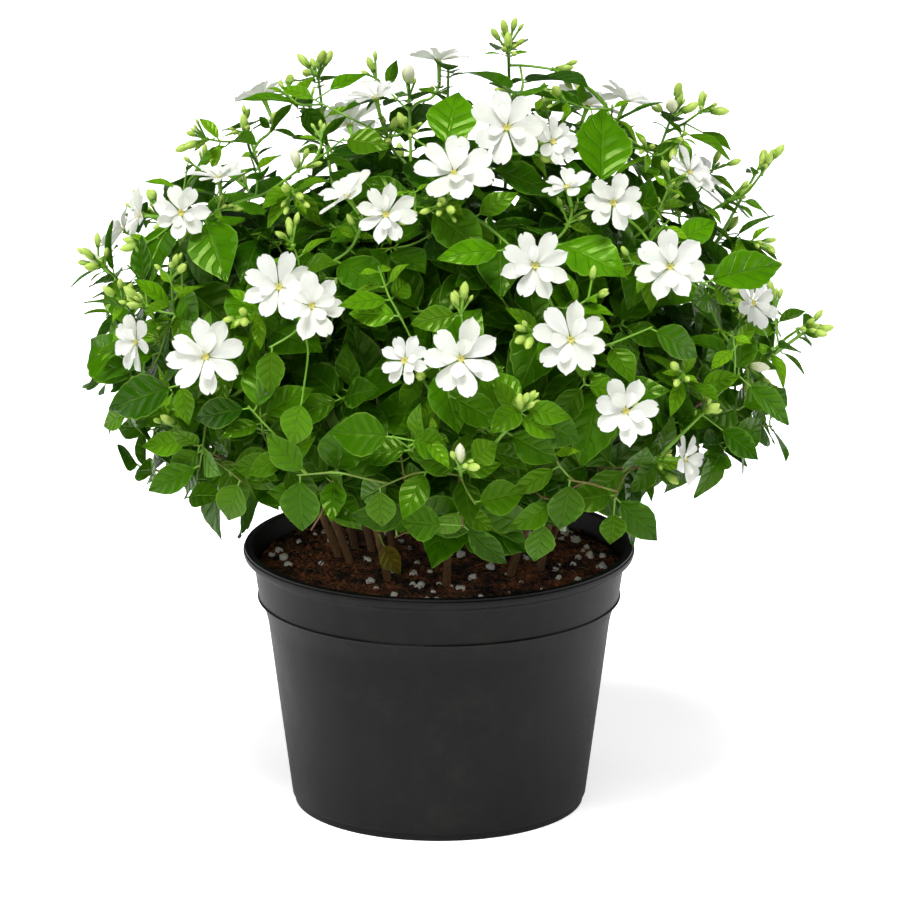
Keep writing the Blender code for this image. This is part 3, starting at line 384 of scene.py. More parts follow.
# How fast the wave of a leaf's edge runs, in radians along the blade and from its midrib to its edge
WAVE_ALONG, WAVE_ASIDE = 7.5, 1.2
LARGE_LEAF_WIDTH = 0.018
LARGE_LEAF_STATIONS = (0.18, 0.47, 0.78)
SMALL_LEAF_STATIONS = (0.27, 0.71)
TUBE_LENGTH = 0.0105
TUBE_RADIUS = 0.0012
THROAT_RADIUS = 0.0021
CALYX_LENGTH = 0.0032
CALYX_RADIUS = 0.0017
PETAL_KEEL = 0.0009
ROUGH_OUTER_PETALS = 6
ROUGH_INNER_PETALS = 3
BUD_SUNK = 0.0015
BUD_STALK = 0.002
BUD_STALK_RADIUS = 0.0008
BUD_TIP_RADIUS = 0.0005
BUD_PLUMPNESS = 0.21
BUD_REACH = 0.02

# %% The rough leaf
def leaf_half_width(blade):
    """Half the width of a leaf at a share of its blade's length, as a share of the greatest half width."""
    return sin(pi * blade**0.88) ** 0.72 * (1.0 - 0.18 * blade**6) if 0.0 < blade < 1.0 else 0.0


def leaf_point(leaf, t, s, lift=0.0):
    """A point of a leaf: t runs from -1 at the stalk's foot over 0 where the blade starts to 1 at the tip, and
    s from edge to edge. The blade folds a little, droops and waves."""
    side = leaf.normal.cross(leaf.way)
    stalk = leaf.stalk
    share = stalk + (1.0 - stalk) * t if t > 0.0 else stalk * (1.0 + t)
    half = leaf.width / 2 * leaf_half_width(t)
    wave = leaf.wave * sin(leaf.phase + WAVE_ALONG * t + WAVE_ASIDE * s) * s * s
    rise = leaf.fold * abs(s) * half - leaf.droop * leaf.length * share * share + wave
    along = leaf.length * (share - 0.35 * leaf.droop ** 2 * share * share)
    return leaf.foot + leaf.way * along + side * (s * half) + leaf.normal * (rise + lift)


def leaf_blade(leaf):
    """A closed blade: one waved edge, a smooth upper face, and under it a keel along the midrib."""
    points = [leaf_point(leaf, -1.0, 0.0)]
    for t in leaf.stations:
        keel = LEAF_KEEL * (1.6 - t)
        points += [leaf_point(leaf, t, 1.0), leaf_point(leaf, t, -1.0), leaf_point(leaf, t, 0.0, -keel)]
    points.append(leaf_point(leaf, 1.0, 0.0))
    left, right, under, tip = 1, 2, 3, len(points) - 1
    faces = [(0, right, left), (0, left, under), (0, under, right)]
    for k in range(len(leaf.stations) - 1):
        l0, r0, u0 = (3 * k + n for n in (left, right, under))
        l1, r1, u1 = l0 + 3, r0 + 3, u0 + 3
        faces += [(l0, r0, r1), (l0, r1, l1), (u0, l0, l1), (u0, l1, u1), (u0, u1, r1), (u0, r1, r0)]
    l1, r1, u1 = tip - 3, tip - 2, tip - 1
    faces += [(r1, tip, l1), (u1, l1, tip), (u1, tip, r1)]
    return points, faces


# %% The rough bloom
def petal_half_width(t):
    """Half the width of a petal: narrow at its claw, broadest beyond the middle, round at its end."""
    return t**0.7 * sqrt(max(1.0 - t**4, 0.0)) / 0.68


def radial_of(bloom, angle):
    """The direction out of a bloom's throat at an angle round it."""
    return bloom.east * cos(angle) + bloom.north * sin(angle)


def petal_point(bloom, petal, t, s, lift=0.0):
    """A point of a petal: t runs outwards and s from edge to edge. One edge lies over the next petal's."""
    facing = bloom.facing
    radial = radial_of(bloom, petal.angle)
    tangent = facing.cross(radial)
    half = petal.width / 2 * petal_half_width(t)
    slope = petal.opening + (petal.curl - petal.opening) * t / 2
    reach = THROAT_RADIUS + petal.length * t * cos(slope)
    rise = petal.length * t * sin(slope) + petal.twist * s * half + petal.cup * s * s * half
    normal = facing * cos(slope) - radial * sin(slope)
    return bloom.throat + radial * reach + tangent * (s * half) + facing * rise + normal * lift


# The chances of a petal: share of the greatest length, of the greatest width, opening and curl in degrees
OUTER_CHANCES = ((0.97, 1.05), (0.52, 0.57), (26, 36), (-18, -4))
INNER_CHANCES = ((0.58, 0.66), (0.46, 0.52), (56, 64), (22, 34))


def bloom_petals(bloom, outer, inner):
    """The petals of a bloom: an open outer ring, and fewer, shorter and more upright ones inside it."""
    draw = random.Random(bloom.seed)
    reach = bloom.size / 2
    petals = []
    for layer, count, longest, widest, (lengths, widths, openings, curls), twist, cup in (
        (0, outer, reach - THROAT_RADIUS, reach * 6.6 / outer, OUTER_CHANCES, 0.26, 0.12),
        (1, inner, reach, reach, INNER_CHANCES, 0.2, 0.2),
    ):
        for k in range(count):
            side = k * outer // count
            petals.append(SimpleNamespace(
                layer=layer, side=side, angle=bloom.turn + 2 * pi * side / outer,
                length=longest * draw.uniform(*lengths), width=widest * draw.uniform(*widths),
                opening=radians(draw.uniform(*openings)), curl=radians(draw.uniform(*curls)), twist=twist, cup=cup,
            ))
    return petals


def petal_blade(bloom, petal, points, roots, faces):
    """Adds one closed petal that grows out of the four root points of its side of the flower's head."""
    under_right, under_left, over_right, over_left = roots
    left = len(points)
    right, under, end_left, end_right = (left + n for n in range(1, 5))
    points += [petal_point(bloom, petal, 0.62, 1.0), petal_point(bloom, petal, 0.62, -1.0)]
    points.append(petal_point(bloom, petal, 0.62, 0.0, -PETAL_KEEL))
    points += [petal_point(bloom, petal, 0.97, 1.0), petal_point(bloom, petal, 0.97, -1.0)]
    faces += [(over_left, over_right, right), (over_left, right, left)]
    faces += [(under_right, under_left, under), (under_left, left, under), (under_right, under, right)]
    faces += [(over_left, left, under_left), (over_right, under_right, right)]
    faces += [(left, right, end_right), (left, end_right, end_left)]
    faces += [(under, left, end_left), (under, end_left, end_right), (under, end_right, right)]


def bloom_blade(bloom):
    """One closed bloom: the tube, the outer petals round its head and the inner ones above them."""
    sides = ROUGH_OUTER_PETALS
    petals = bloom_petals(bloom, ROUGH_OUTER_PETALS, ROUGH_INNER_PETALS)
    points, faces = [], []
    head = PETAL_KEEL * 1.1
    for radius, rise in (
        (TUBE_RADIUS, -TUBE_LENGTH), (THROAT_RADIUS * 0.9, -head), (THROAT_RADIUS, 0.0), (THROAT_RADIUS * 0.8, head),
    ):
        for k in range(sides):
            angle = bloom.turn + 2 * pi * (k - 0.5) / sides
            points.append(bloom.throat + radial_of(bloom, angle) * radius + bloom.facing * rise)
    foot, under, over, crown = (ring * sides for ring in range(4))
    points.append(bloom.throat + bloom.facing * (head * 0.3))
    throat = len(points) - 1
    faces.append(tuple(foot + k for k in range(sides - 1, -1, -1)))
    inner_sides = {petal.side for petal in petals if petal.layer}
    for k in range(sides):
        after = (k + 1) % sides
        faces.append((foot + k, foot + after, under + after, under + k))
        faces.append((crown + k, crown + after, throat))
        if k not in inner_sides:
            faces.append((over + k, over + after, crown + after, crown + k))
    for petal in petals:
        k, after = petal.side, (petal.side + 1) % sides
        low, high = (over, crown) if petal.layer else (under, over)
        petal_blade(bloom, petal, points, (low + k, low + after, high + k, high + after), faces)
    return points, faces


# %% The rough bud
def bud_blade(bud):
    """A closed bud: a slim stalk that swells into a pointed bud."""
    foot, way = bud.foot, bud.way
    widest = bud.stalk + bud.length * 0.45
    end = bud.stalk + bud.length
    path = [foot - way * BUD_SUNK, foot + way * widest, foot + way * end]
    return tube(path, (BUD_STALK_RADIUS, bud.length * BUD_PLUMPNESS, BUD_TIP_RADIUS), 4)


print("a small rough leaf has", len(SMALL_LEAF_STATIONS) * 6, "faces")

# %% [markdown]
# ## Room for each piece
# On the real plant leaves push each other aside. Here a thicket remembers the box and faces of all that stands, and a
# new piece is only kept where it stays 0.4 mm away. The boxes sit in one array, so that most of the plant is ruled
# out at once and only near neighbours are tried face by face.

# %% The thicket
CLEARANCE = 0.0004
MOST_PIECES = 6000


def box_of(points):
    """The lowest and highest corner of some points."""
    low = [min(p[i] for p in points) for i in range(3)]
    high = [max(p[i] for p in points) for i in range(3)]
    return low, high


def beyond_root(points, faces, skip):
    """A piece without its first points, for trying: its root lies inside what it grows from."""
    kept = [tuple(i - skip for i in face) for face in faces if min(face) >= skip]
    return points[skip:], kept


class Thicket:
    """What already stands in the crown, so that each new piece can be tried against it."""

    def __init__(self):
        self.owners, self.trees = [], []
        self.boxes = np.empty((MOST_PIECES, 6))

    def add(self, owner, points, faces):
        low, high = box_of(points)
        self.boxes[len(self.owners)] = (*low, *high)
        self.owners.append(owner)
        self.trees.append(BVHTree.FromPolygons(points, faces))

    def drop_last(self):
        self.owners.pop()
        self.trees.pop()

    def clear(self, points, faces, ignore=None):
        """True where the new piece keeps its clearance from all that stands, but for the ignored owner's."""
        low, high = box_of(points)
        boxes = self.boxes[: len(self.owners)]
        near = (low <= boxes[:, 3:] + CLEARANCE) & (boxes[:, :3] <= np.add(high, CLEARANCE))
        tree = None
        for i in np.flatnonzero(near.all(axis=1)):
            if self.owners[i] == ignore:
                continue
            tree = tree or BVHTree.FromPolygons(points, faces)
            if tree.overlap(self.trees[i]):
                return False
            if any(self.trees[i].find_nearest(p, CLEARANCE)[0] is not None for p in points):
                return False
        return True


def has_room(points, faces, rooted, owner=None):
    """True for a piece that is clear of all but its owner, and whose part beyond its root is clear of that too."""
    if not thicket.clear(*beyond_root(points, faces, rooted)):
        return False
    return thicket.clear(points, faces, ignore=owner)


thicket = Thicket()
draw = random.Random(11)
branches, leaves, buds, blooms, left_out = [], [], [], [], []
print("room for", MOST_PIECES, "pieces")

# %% [markdown]
# ## Stems
# Jasmine in a nursery pot is several rooted cuttings, so the stems come out of the soil in a ring, each on the side
# of its tip, and lean out as they rise. One that would cut another is turned round the pot a little.

# %% Grow the stems
STEM_FOOT_RADIUS = 0.0026
STEM_TIP_RADIUS = 0.0012
SHOOT_FOOT_RADIUS = 0.0015
SHOOT_TIP_RADIUS = 0.001
STEM_ROOT_RING = (0.012, 0.052)
STEM_ROOT_RISE = 0.052
STEM_SPACING = 0.002
STEM_STEPS = 5
STEM_HOLE_DEPTH = 0.02
SOIL_TOP = 0.1255
STEM_ROOT_TRIALS = ((0, 0), (14, 0), (-14, 0), (0, 0.01), (28, 0.004), (-28, 0.004), (0, -0.01), (42, 0))


def taper(path, foot, tip):
    """Radii that shrink evenly along a path."""
    last = len(path) - 1
    return [foot + (tip - foot) * k / last for k in range(last + 1)]


def branch_tube(branch):
    """The path, radii and number of sides of a branch. A stem starts in the soil, and a flower's shoot ends in
    its calyx, a small flared cup with a flat top."""
    path = branch.path
    if branch.kind == "stem":
        radii = taper(path, STEM_FOOT_RADIUS, STEM_TIP_RADIUS)
        return [path[0] - UP * (STEM_HOLE_DEPTH - CLEARANCE), *path], [radii[0], *radii], 4
    radii = taper(path, SHOOT_FOOT_RADIUS, SHOOT_TIP_RADIUS)
    if branch.kind == "flower":
        return [*path, path[-1] + branch.way * CALYX_LENGTH], [*radii, CALYX_RADIUS], 3
    return path, radii, 3


def grow_stem(tip, lead):
    """A stem rises from the soil on its own side of the pot and bends out to its tip."""
    name = f"stem_{len(branches) + 1:02d}"
    outward = Vector((tip.x, tip.y, 0.0))
    nearest, furthest = STEM_ROOT_RING
    reach = min(nearest + 0.24 * outward.length, furthest)
    for turn, spare in STEM_ROOT_TRIALS:
        way = Quaternion(UP, radians(turn)) @ outward.normalized()
        root = way * (reach + spare) + UP * SOIL_TOP
        controls = (root, root + UP * STEM_ROOT_RISE + way * 0.008, lead, tip)
        stem = SimpleNamespace(kind="stem", owner=name, path=curve_path(controls, STEM_STEPS), end=tip)
        path, radii, sides = branch_tube(stem)
        if thicket.clear(*tube(path, [radius + STEM_SPACING for radius in radii], sides)):
            break
    thicket.add(name, *tube(path, radii, sides))
    branches.append(stem)


for row in STEMS_SEEN:
    grow_stem(seen_at(*row[:3]), seen_at(*row[3:]))
for azimuth, height in STEMS_BEHIND:
    angles = radians(azimuth), radians(height)
    grow_stem(crown_point(*angles, 1.0), crown_point(*angles, 0.55) + UP * 0.012)
stems = list(branches)
print(len(stems), "stems")

# %% [markdown]
# ## Side shoots
# A shoot leaves a stem or another shoot and must end where its flower or leaves are. The natural place to leave from
# is near, lies below its end, and is on a stem that carries little. So the places are sorted by such a cost and tried
# in turn.

# %% Grow a side shoot
FLOWER_SHOOT_STEPS = 3
LEAF_SHOOT_STEPS = 2
SHORTEST_SHOOT, LONGEST_SHOOT = 0.006, 0.105
CROWDING = 0.0012
HOST_TRIALS = 60


def lowest(points):
    return min(p.z for p in points)


def host_sites(end, way):
    """Places that a shoot to `end` could leave from, the most natural one first."""
    sites = []
    carried = Counter(branch.owner for branch in branches)
    for branch in branches:
        steps = 25 if branch.kind == "stem" else 8
        for step in range(steps // 5 + 1, steps):
            site, along = path_at(branch.path, step / steps)
            offset = end - site
            length = offset.length
            if not SHORTEST_SHOOT < length < LONGEST_SHOOT:
                continue
            forward = offset.dot(along) / length
            towards = offset.dot(way) / length
            cost = length * (1.8 - 0.5 * forward - 0.35 * towards) + CROWDING * carried[branch.owner]
            sites.append((cost, len(sites), branch.owner, site, along))
    return sorted(sites)[:HOST_TRIALS]


def grow_shoot(end, way, kind):
    """A side shoot that leaves a branch and reaches `end` in a given direction, or None if none is clear."""
    for _, _, owner, site, along in host_sites(end, way):
        length = (end - site).length
        controls = (site, site + along * length * 0.35, end - way * length * 0.38, end)
        path = curve_path(controls, FLOWER_SHOOT_STEPS if kind == "flower" else LEAF_SHOOT_STEPS)
        if kind != "flower":
            path[-1] = path[-1] + way_into(path) * SHOOT_END
        shoot = SimpleNamespace(kind=kind, owner=owner, path=path, end=end, way=way)
        points, faces = tube(*branch_tube(shoot))
        if lowest(points) < LOWEST_LEAF - 0.01:
            continue
        foot_faces = [face for face in faces if max(face) < 6]
        foot_is_clear = thicket.clear(points[:6], foot_faces, ignore=owner)
        if foot_is_clear and thicket.clear(*beyond_root(points, faces, 3)):
            thicket.add(owner, points, faces)
            branches.append(shoot)
            return shoot
    return None


print("a shoot is", SHORTEST_SHOOT * 1000, "to", LONGEST_SHOOT * 1000, "mm long")

# %% [markdown]
# ## Blooms
# All blooms take their places first, because they are what the eye goes to. Then each gets the shoot that carries it,
# which ends in the calyx where the flower's green tube stands.

# %% Grow the blooms and their shoots
def bloom_places():
    places = []
    for px, py, lift, right, up, forward, size in BLOOMS_SEEN:
        places.append((on_crown(px, py, lift), in_view(right, up, forward), size))
    for k, height in enumerate(BLOOM_HEIGHTS_BEHIND):
        azimuth = radians(168 * ((k + 0.5) / len(BLOOM_HEIGHTS_BEHIND) - 0.5))
        throat = crown_point(azimuth, radians(height), 1.02)
        facing = (crown_normal(throat) + UP * 0.15).normalized()
        places.append((throat, facing, 0.031 + 0.002 * (k % 4)))
    return places


for number, (throat, facing, size) in enumerate(bloom_places(), 1):
    east = across(facing, Vector((1.0, 0.2, 0.1)))
    bloom = SimpleNamespace(
        name=f"bloom_{number:02d}", throat=throat, facing=facing, east=east, north=facing.cross(east),
        turn=draw.uniform(0, pi), seed=100 + number, size=size,
    )
    thicket.add(bloom.name, *bloom_blade(bloom))
    blooms.append(bloom)
for bloom in blooms:
    neck = bloom.throat - bloom.facing * (TUBE_LENGTH + CLEARANCE + CALYX_LENGTH)
    if grow_shoot(neck, bloom.facing, "flower") is None:
        left_out.append(bloom.name + " has no shoot")
print(len(blooms), "blooms;", left_out)

# %% [markdown]
# ## Buds
# A bud stands at the tip of a stem or beside another bud, where one is near. Otherwise it gets its own shoot.

# %% Grow the buds
def stands(bud):
    """Keeps a bud where it has room."""
    points, faces = bud_blade(bud)
    if not has_room(points, faces, 4, bud.owner):
        return False
    thicket.add(bud.owner, points, faces)
    buds.append(bud)
    return True


def grow_bud(tip, way, length):
    neck = tip - way * length
    ends = [(stem.path[-1], stem.owner) for stem in stems]
    ends += [(bud.foot, bud.owner) for bud in buds]
    foot, owner = min(ends, key=lambda end: (end[0] - neck).length)
    if (neck - foot).length < BUD_REACH:
        way = (tip - foot).normalized()
        stalk = max((tip - foot).length - length, 0.001)
    else:
        shoot = grow_shoot(neck - way * BUD_STALK, way, "bud")
        if not shoot:
            return False
        foot, stalk, owner = shoot.end, BUD_STALK, shoot.owner
    return stands(SimpleNamespace(foot=foot, way=way, stalk=stalk, length=length, owner=owner))


for stem in stems[len(STEMS_SEEN):]:
    way = way_into(stem.path)
    grow_bud(stem.path[-1] + way * 0.014, way, 0.01)
for px, py, lift, right, up, forward, length in BUDS_SEEN:
    if not grow_bud(on_crown(px, py, lift), in_view(right, up, forward), length):
        left_out.append(f"the bud at {px} {py}")
print(len(buds), "buds;", left_out)

# %% [markdown]
# ## Leaves
# First come the single leaves that stand out, on the nearest branch or a twig of their own. Then the opposite pairs,
# which jasmine sets at every node, each square to the last. A leaf without room is turned a little and made smaller
# before it is given up.

# %% A new leaf, tried and added
STANDING_OUT = 2.0
PAIR_REACH = 1.06
FREE_PAIR_REACH = 1.12
NEAREST_FOOT = 0.016
# A leaf arches, so it is a little longer than the straight way from its foot to its tip
ARCH_LENGTH = 1.04
LEAF_LIFT_TRIALS = (0.0, 0.004, -0.005, 0.009, -0.01, 0.014)
LEAF_TURN_TRIALS = ((0, 1.0), (0.35, 0.95), (-0.35, 0.95), (0.8, 0.85), (-0.8, 0.85), (0, 0.7))


def new_leaf(foot, way, face, length, width, stations=SMALL_LEAF_STATIONS, stalk=LEAF_PETIOLE):
    return SimpleNamespace(
        foot=foot, way=way, normal=across(way, face), length=length, width=width, stalk=stalk, stations=stations,
        fold=draw.uniform(0.05, 0.14), droop=draw.uniform(0.1, MOST_DROOP), wave=length * draw.uniform(0.01, 0.026),
        phase=draw.uniform(0, 2 * pi), young=False, dead=False,
    )


# How leaves grow: they end in a bowl round the pot's middle, flat to begin with; how steeply one may hang, how much
# its face is turned by chance, and how slim it is
habit = SimpleNamespace(foot=LOWEST_LEAF, slope=0.0, steepest=-1.0, tilt=0.2, slim=1.0)


def too_low(points):
    """True for a leaf that would hang below the bowl."""
    rise = habit.slope * max(hypot(points[-1].x, points[-1].y) - 0.02, 0.0)
    return lowest(points) < habit.foot + rise


def is_clear(leaf, reach, owner=None):
    points, faces = leaf_blade(leaf)
    return not too_low(points) and crown_depth(points[-1]) <= reach and has_room(points, faces, 1, owner)


def add_leaf(leaf, owner):
    leaf.owner = owner
    thicket.add(owner, *beyond_root(*leaf_blade(leaf), 1))
    leaves.append(leaf)


# %% Grow the single leaves
def nearest_branch(point):
    """The nearest ring of a branch or place just inside its end, for a leaf to grow from, and its owner."""
    places = []
    for branch in branches:
        end = branch.path[-1] - way_into(branch.path) * SHOOT_END
        for place in (*branch.path[1:-1], end):
            places.append(((place - point).length, len(places), place, branch.owner))
    return min(places)[2:]


def grow_on_twig(leaf, here, way):
    """Gives a leaf that hangs in the air a twig of its own. The leaf stands in the thicket while it is sought."""
    lead = (way * 0.6 + crown_normal(here) * 0.7).normalized()
    thicket.add("trial", *beyond_root(*leaf_blade(leaf), 1))
    standing = len(thicket.owners)
    shoot = grow_shoot(here, lead, "leaf")
    if shoot:
        for rows in (thicket.owners, thicket.trees):
            rows.pop(standing - 1)
        thicket.boxes[standing - 1] = thicket.boxes[standing]
        add_leaf(leaf, shoot.owner)
    else:
        thicket.drop_last()
    return shoot


def grow_single_leaf(foot, tip, width):
    face = (crown_normal(tip) * 0.6 - SIGHT_AWAY * 0.5 + UP * 0.25).normalized()
    stations = LARGE_LEAF_STATIONS if width > LARGE_LEAF_WIDTH else SMALL_LEAF_STATIONS
    for lift in LEAF_LIFT_TRIALS:
        here, there = foot - SIGHT_AWAY * lift, tip - SIGHT_AWAY * lift
        site, owner = nearest_branch(here)
        gap = (site - here).length
        if gap < NEAREST_FOOT:
            way, length = (there - site).normalized(), (there - site).length * ARCH_LENGTH
            stalk = min(LEAF_PETIOLE + gap / length * 0.8, 0.35)
            leaf = new_leaf(site, way, face, length, width, stations, stalk)
            if is_clear(leaf, STANDING_OUT, owner):
                add_leaf(leaf, owner)
                return True
        way = (there - here).normalized()
        leaf = new_leaf(here, way, face, (there - here).length * ARCH_LENGTH, width, stations)
        if is_clear(leaf, STANDING_OUT) and grow_on_twig(leaf, here, way):
            return True
    return False


for row in LEAVES_SEEN:
    foot, tip = on_crown(*row[:3]), on_crown(*row[3:6])
    beyond = (tip - foot).dot(SIGHT_AWAY)
    most = (tip - foot - SIGHT_AWAY * beyond).length * 0.45
    tip += SIGHT_AWAY * (max(min(beyond, most), -most) - beyond)
    if not grow_single_leaf(foot, tip, row[6] * PIXEL):
        left_out.append(f"the leaf at {row[3]} {row[4]}")
print(len(leaves), "single leaves;", left_out)

# %% Grow the opposite pairs
def grow_pair(node, axis, owner, length, turn, reach=PAIR_REACH):
    """Two opposite leaves at a node. Each is turned a little and made smaller until it is clear."""
    side = Quaternion(axis, turn) @ across(axis, crown_normal(node))
    face = (crown_normal(node) * 0.75 + UP * 0.6).normalized()
    for sign in (1, -1):
        for swing, scale in LEAF_TURN_TRIALS:
            out = Quaternion(axis, swing) @ (side * sign)
            way = (out * 0.85 + axis * 0.45 - UP * 0.22).normalized()
            way = Vector((way.x, way.y, max(way.z, habit.steepest))).normalized()
            tilt = Vector([draw.uniform(-habit.tilt, habit.tilt) for _ in range(3)])
            width = length * scale * draw.uniform(0.6, 0.7) * habit.slim
            leaf = new_leaf(node, way, face + tilt, length * scale, width)
            if is_clear(leaf, reach, owner):
                add_leaf(leaf, owner)
                break


for branch in list(branches):
    path, owner = branch.path, branch.owner
    turn = draw.uniform(0.9, 1.6)
    if branch.kind == "stem":
        pairs = ((-1, 0.022), (-2, 0.042), (-3, 0.046))
    elif branch.kind == "flower" and (path[-1] - path[0]).length > 0.024:
        pairs = ((2, 0.04),)
    else:
        continue
    for ring, size in pairs:
        node = path[ring].lerp(path[ring - 1], 0.08 if ring == -1 else 0.4)
        if crown_depth(node) > 0.62:
            size *= draw.uniform(0.92, 1.1)
            grow_pair(node, way_into(path, ring), owner, size, turn, FREE_PAIR_REACH)
        turn += pi / 2
print(len(leaves), "leaves on stems and flower shoots")

# %% [markdown]
# ## Leaf shoots where the crown is bare
# Points spread by the golden angle cover the egg evenly, as seeds do in a sunflower's head. Each point without a leaf
# or bloom near it gets a leaf shoot with one or two pairs.

# %% Fill the crown
GOLDEN_ANGLE = pi * (3 - sqrt(5))


def filled(point, distance):
    near_leaf = any((leaf_point(leaf, 0.5, 0.0) - point).length < distance for leaf in leaves)
    return near_leaf or any((bloom.throat - point).length < distance for bloom in blooms)


def fill_crown(count, share, distance, length):
    """Leaf shoots at this share of the crown's reach, where no leaf's middle is within the distance."""
    for k in range(count):
        height = asin(-0.62 + 1.6 * (k + 0.5) / count)
        point = crown_point(k * GOLDEN_ANGLE, height, share)
        if point.z < LOWEST_LEAF + 0.014 or filled(point, distance):
            continue
        way = (crown_normal(point) * 0.8 + UP * 0.35).normalized()
        shoot = grow_shoot(point, way, "leaf")
        if shoot is None:
            continue
        turn = draw.uniform(0, pi)
        size = length * draw.uniform(0.9, 1.1)
        path, owner = shoot.path, shoot.owner
        grow_pair(point, way, owner, size, turn)
        inner = path[0].lerp(path[1], 0.7)
        if crown_depth(inner) > 0.7:
            grow_pair(inner, way_into(path, 1), owner, size, turn + pi / 2)


fill_crown(count=88, share=0.94, distance=0.035, length=0.048)
print(len(branches), "branches and", len(leaves), "leaves are in the solid model too;", left_out)

# %% [markdown]
# ## Finer growth
# The solid model keeps to the leaves that give the crown its form. A real plant has many times more, most of them in
# the shade. The same rules go on from there. Leaf shoots fill a few eggs inside each other, so that the inside is
# dense and dark, and reach less far above, where single shoots stand with sky between them. A slow noise makes the
# lumps and clefts of its branches, and below the leaves end in a bowl that rises outwards, so that the soil shows.

# %% Fill the shade and the gaps
LUMPS = 0.22
FREE_SHOOTS = 0.4
BOWL_FOOT = 0.15
habit = SimpleNamespace(foot=BOWL_FOOT, slope=0.22, steepest=-0.62, tilt=0.5, slim=0.86)


def dense_reach(point):
    """How far out the dense part goes in a point's direction, as a share of the egg's reach."""
    way = Vector(by_reach(point - CROWN_CENTRE)).normalized()
    free = FREE_SHOOTS * max(way.z, 0.0) ** 0.9
    return 1.0 - free + LUMPS * noise.noise(way * 2.3 + Vector((4.0, 1.0, 7.0)))


def fill_layer(count, share, distance, length):
    """Leaf shoots with one or two pairs on a lumpy egg, where nothing is within the distance."""
    for k in range(count):
        height = asin(-0.66 + 1.62 * (k + 0.5) / count)
        reach = share * dense_reach(crown_point(k * GOLDEN_ANGLE, height))
        point = crown_point(k * GOLDEN_ANGLE, height, reach)
        if too_low([point]) or filled(point, distance):
            continue
        chance = Vector([draw.uniform(-0.35, 0.35) for _ in range(3)])
        way = (crown_normal(point) * 0.55 + UP * 0.6 + chance).normalized()
        shoot = grow_shoot(point, way, "leaf")
        if shoot is None:
            continue
        turn, size = draw.uniform(0, pi), length * draw.uniform(0.85, 1.15)
        path, owner = shoot.path, shoot.owner
        grow_pair(point, way, owner, size, turn, reach + 0.11)
        for ring, at in ((1, 0.5), (2, 0.3)):
            node = path[ring].lerp(path[ring - 1], at)
            turn += pi / 2
            grow_pair(node, way_into(path, ring), owner, size * 1.05, turn, reach + 0.07)


for share, count, distance, length in (
    (0.4, 70, 0.03, 0.046),
    (0.58, 160, 0.025, 0.044),
    (0.74, 300, 0.021, 0.04),
    (0.86, 420, 0.0185, 0.035),
    (0.95, 420, 0.0185, 0.03),
):
    fill_layer(count, share, distance, length)
    print("at", share, "of the crown's reach:", len(leaves), "leaves on", len(branches), "branches")

# %% Leaves along the bare branches
NODE_SPACING = 0.021
for branch in list(branches):
    path, owner = branch.path, branch.owner
    length = sum((b - a).length for a, b in zip(path, path[1:]))
    turn = draw.uniform(0, pi)
    for k in range(1, int(length / NODE_SPACING) + 1):
        node, axis = path_at(path, k * NODE_SPACING / length * 0.97)
        turn += pi / 2
        dense = dense_reach(node)
        if 0.45 < crown_depth(node) < dense + 0.08 and not too_low([node]):
            size = (0.04 - 0.012 * min(crown_depth(node), 1.0)) * draw.uniform(0.8, 1.15)
            grow_pair(node, axis, owner, size, turn, min(dense + 0.16, PAIR_REACH))
print(len(leaves), "leaves with those along the branches")

# %% A dead leaf low down
DEAD_LEAF_FOOT = 0.126
habit.foot = DEAD_LEAF_FOOT
for depth in (-0.05, -0.058, -0.042, -0.066, -0.034, -0.074):
    if grow_single_leaf(seen_at(398, 543, depth), seen_at(394, 572, depth - 0.004), 0.0125):
        leaves[-1].dead = True
        print("a dead leaf hangs", round(leaves[-1].foot.z * 1000), "mm up,", depth, "from the axis")
        break
habit.foot = BOWL_FOOT

# %% [markdown]
# ## Young shoots
# After each flush of bloom jasmine sends up bright green shoots. They stand free of the crown above, with small
# narrow leaves in pairs, and end in a cluster of buds. A noise leaves clefts between them, where the sky shows.

# %% Grow the young shoots
YOUNG_SHOOTS = 150
YOUNG_LEAF_SHAPE = 0.72
CLEFT_SCALE = 24.0
CLEFT_FROM = 0.27


def grow_small_bud(foot, axis, owner, spread=(0.2, 1.0)):
    """A bud on a short stalk that leans away from the shoot's axis."""
    sideways = Quaternion(axis, draw.uniform(0, 2 * pi)) @ across(axis)
    stands(SimpleNamespace(
        foot=foot, way=(axis + sideways * draw.uniform(*spread)).normalized(), stalk=draw.uniform(0.003, 0.01),
        length=draw.choice((0.004, 0.005, 0.006, 0.007, 0.009)) * draw.uniform(0.9, 1.1), owner=owner,
    ))


def grow_young_pairs(branch, rows, reach):
    """Pairs of small leaves along a shoot, each pair square to the last."""
    path, owner = branch.path, branch.owner
    turn = draw.uniform(0, pi)
    for at, size in rows:
        node, axis = path_at(path, at)
        first = len(leaves)
        grow_pair(node, axis, owner, size * draw.uniform(0.85, 1.2), turn, reach)
        for leaf in leaves[first:]:
            leaf.width *= YOUNG_LEAF_SHAPE
            leaf.young = True
        turn += pi / 2


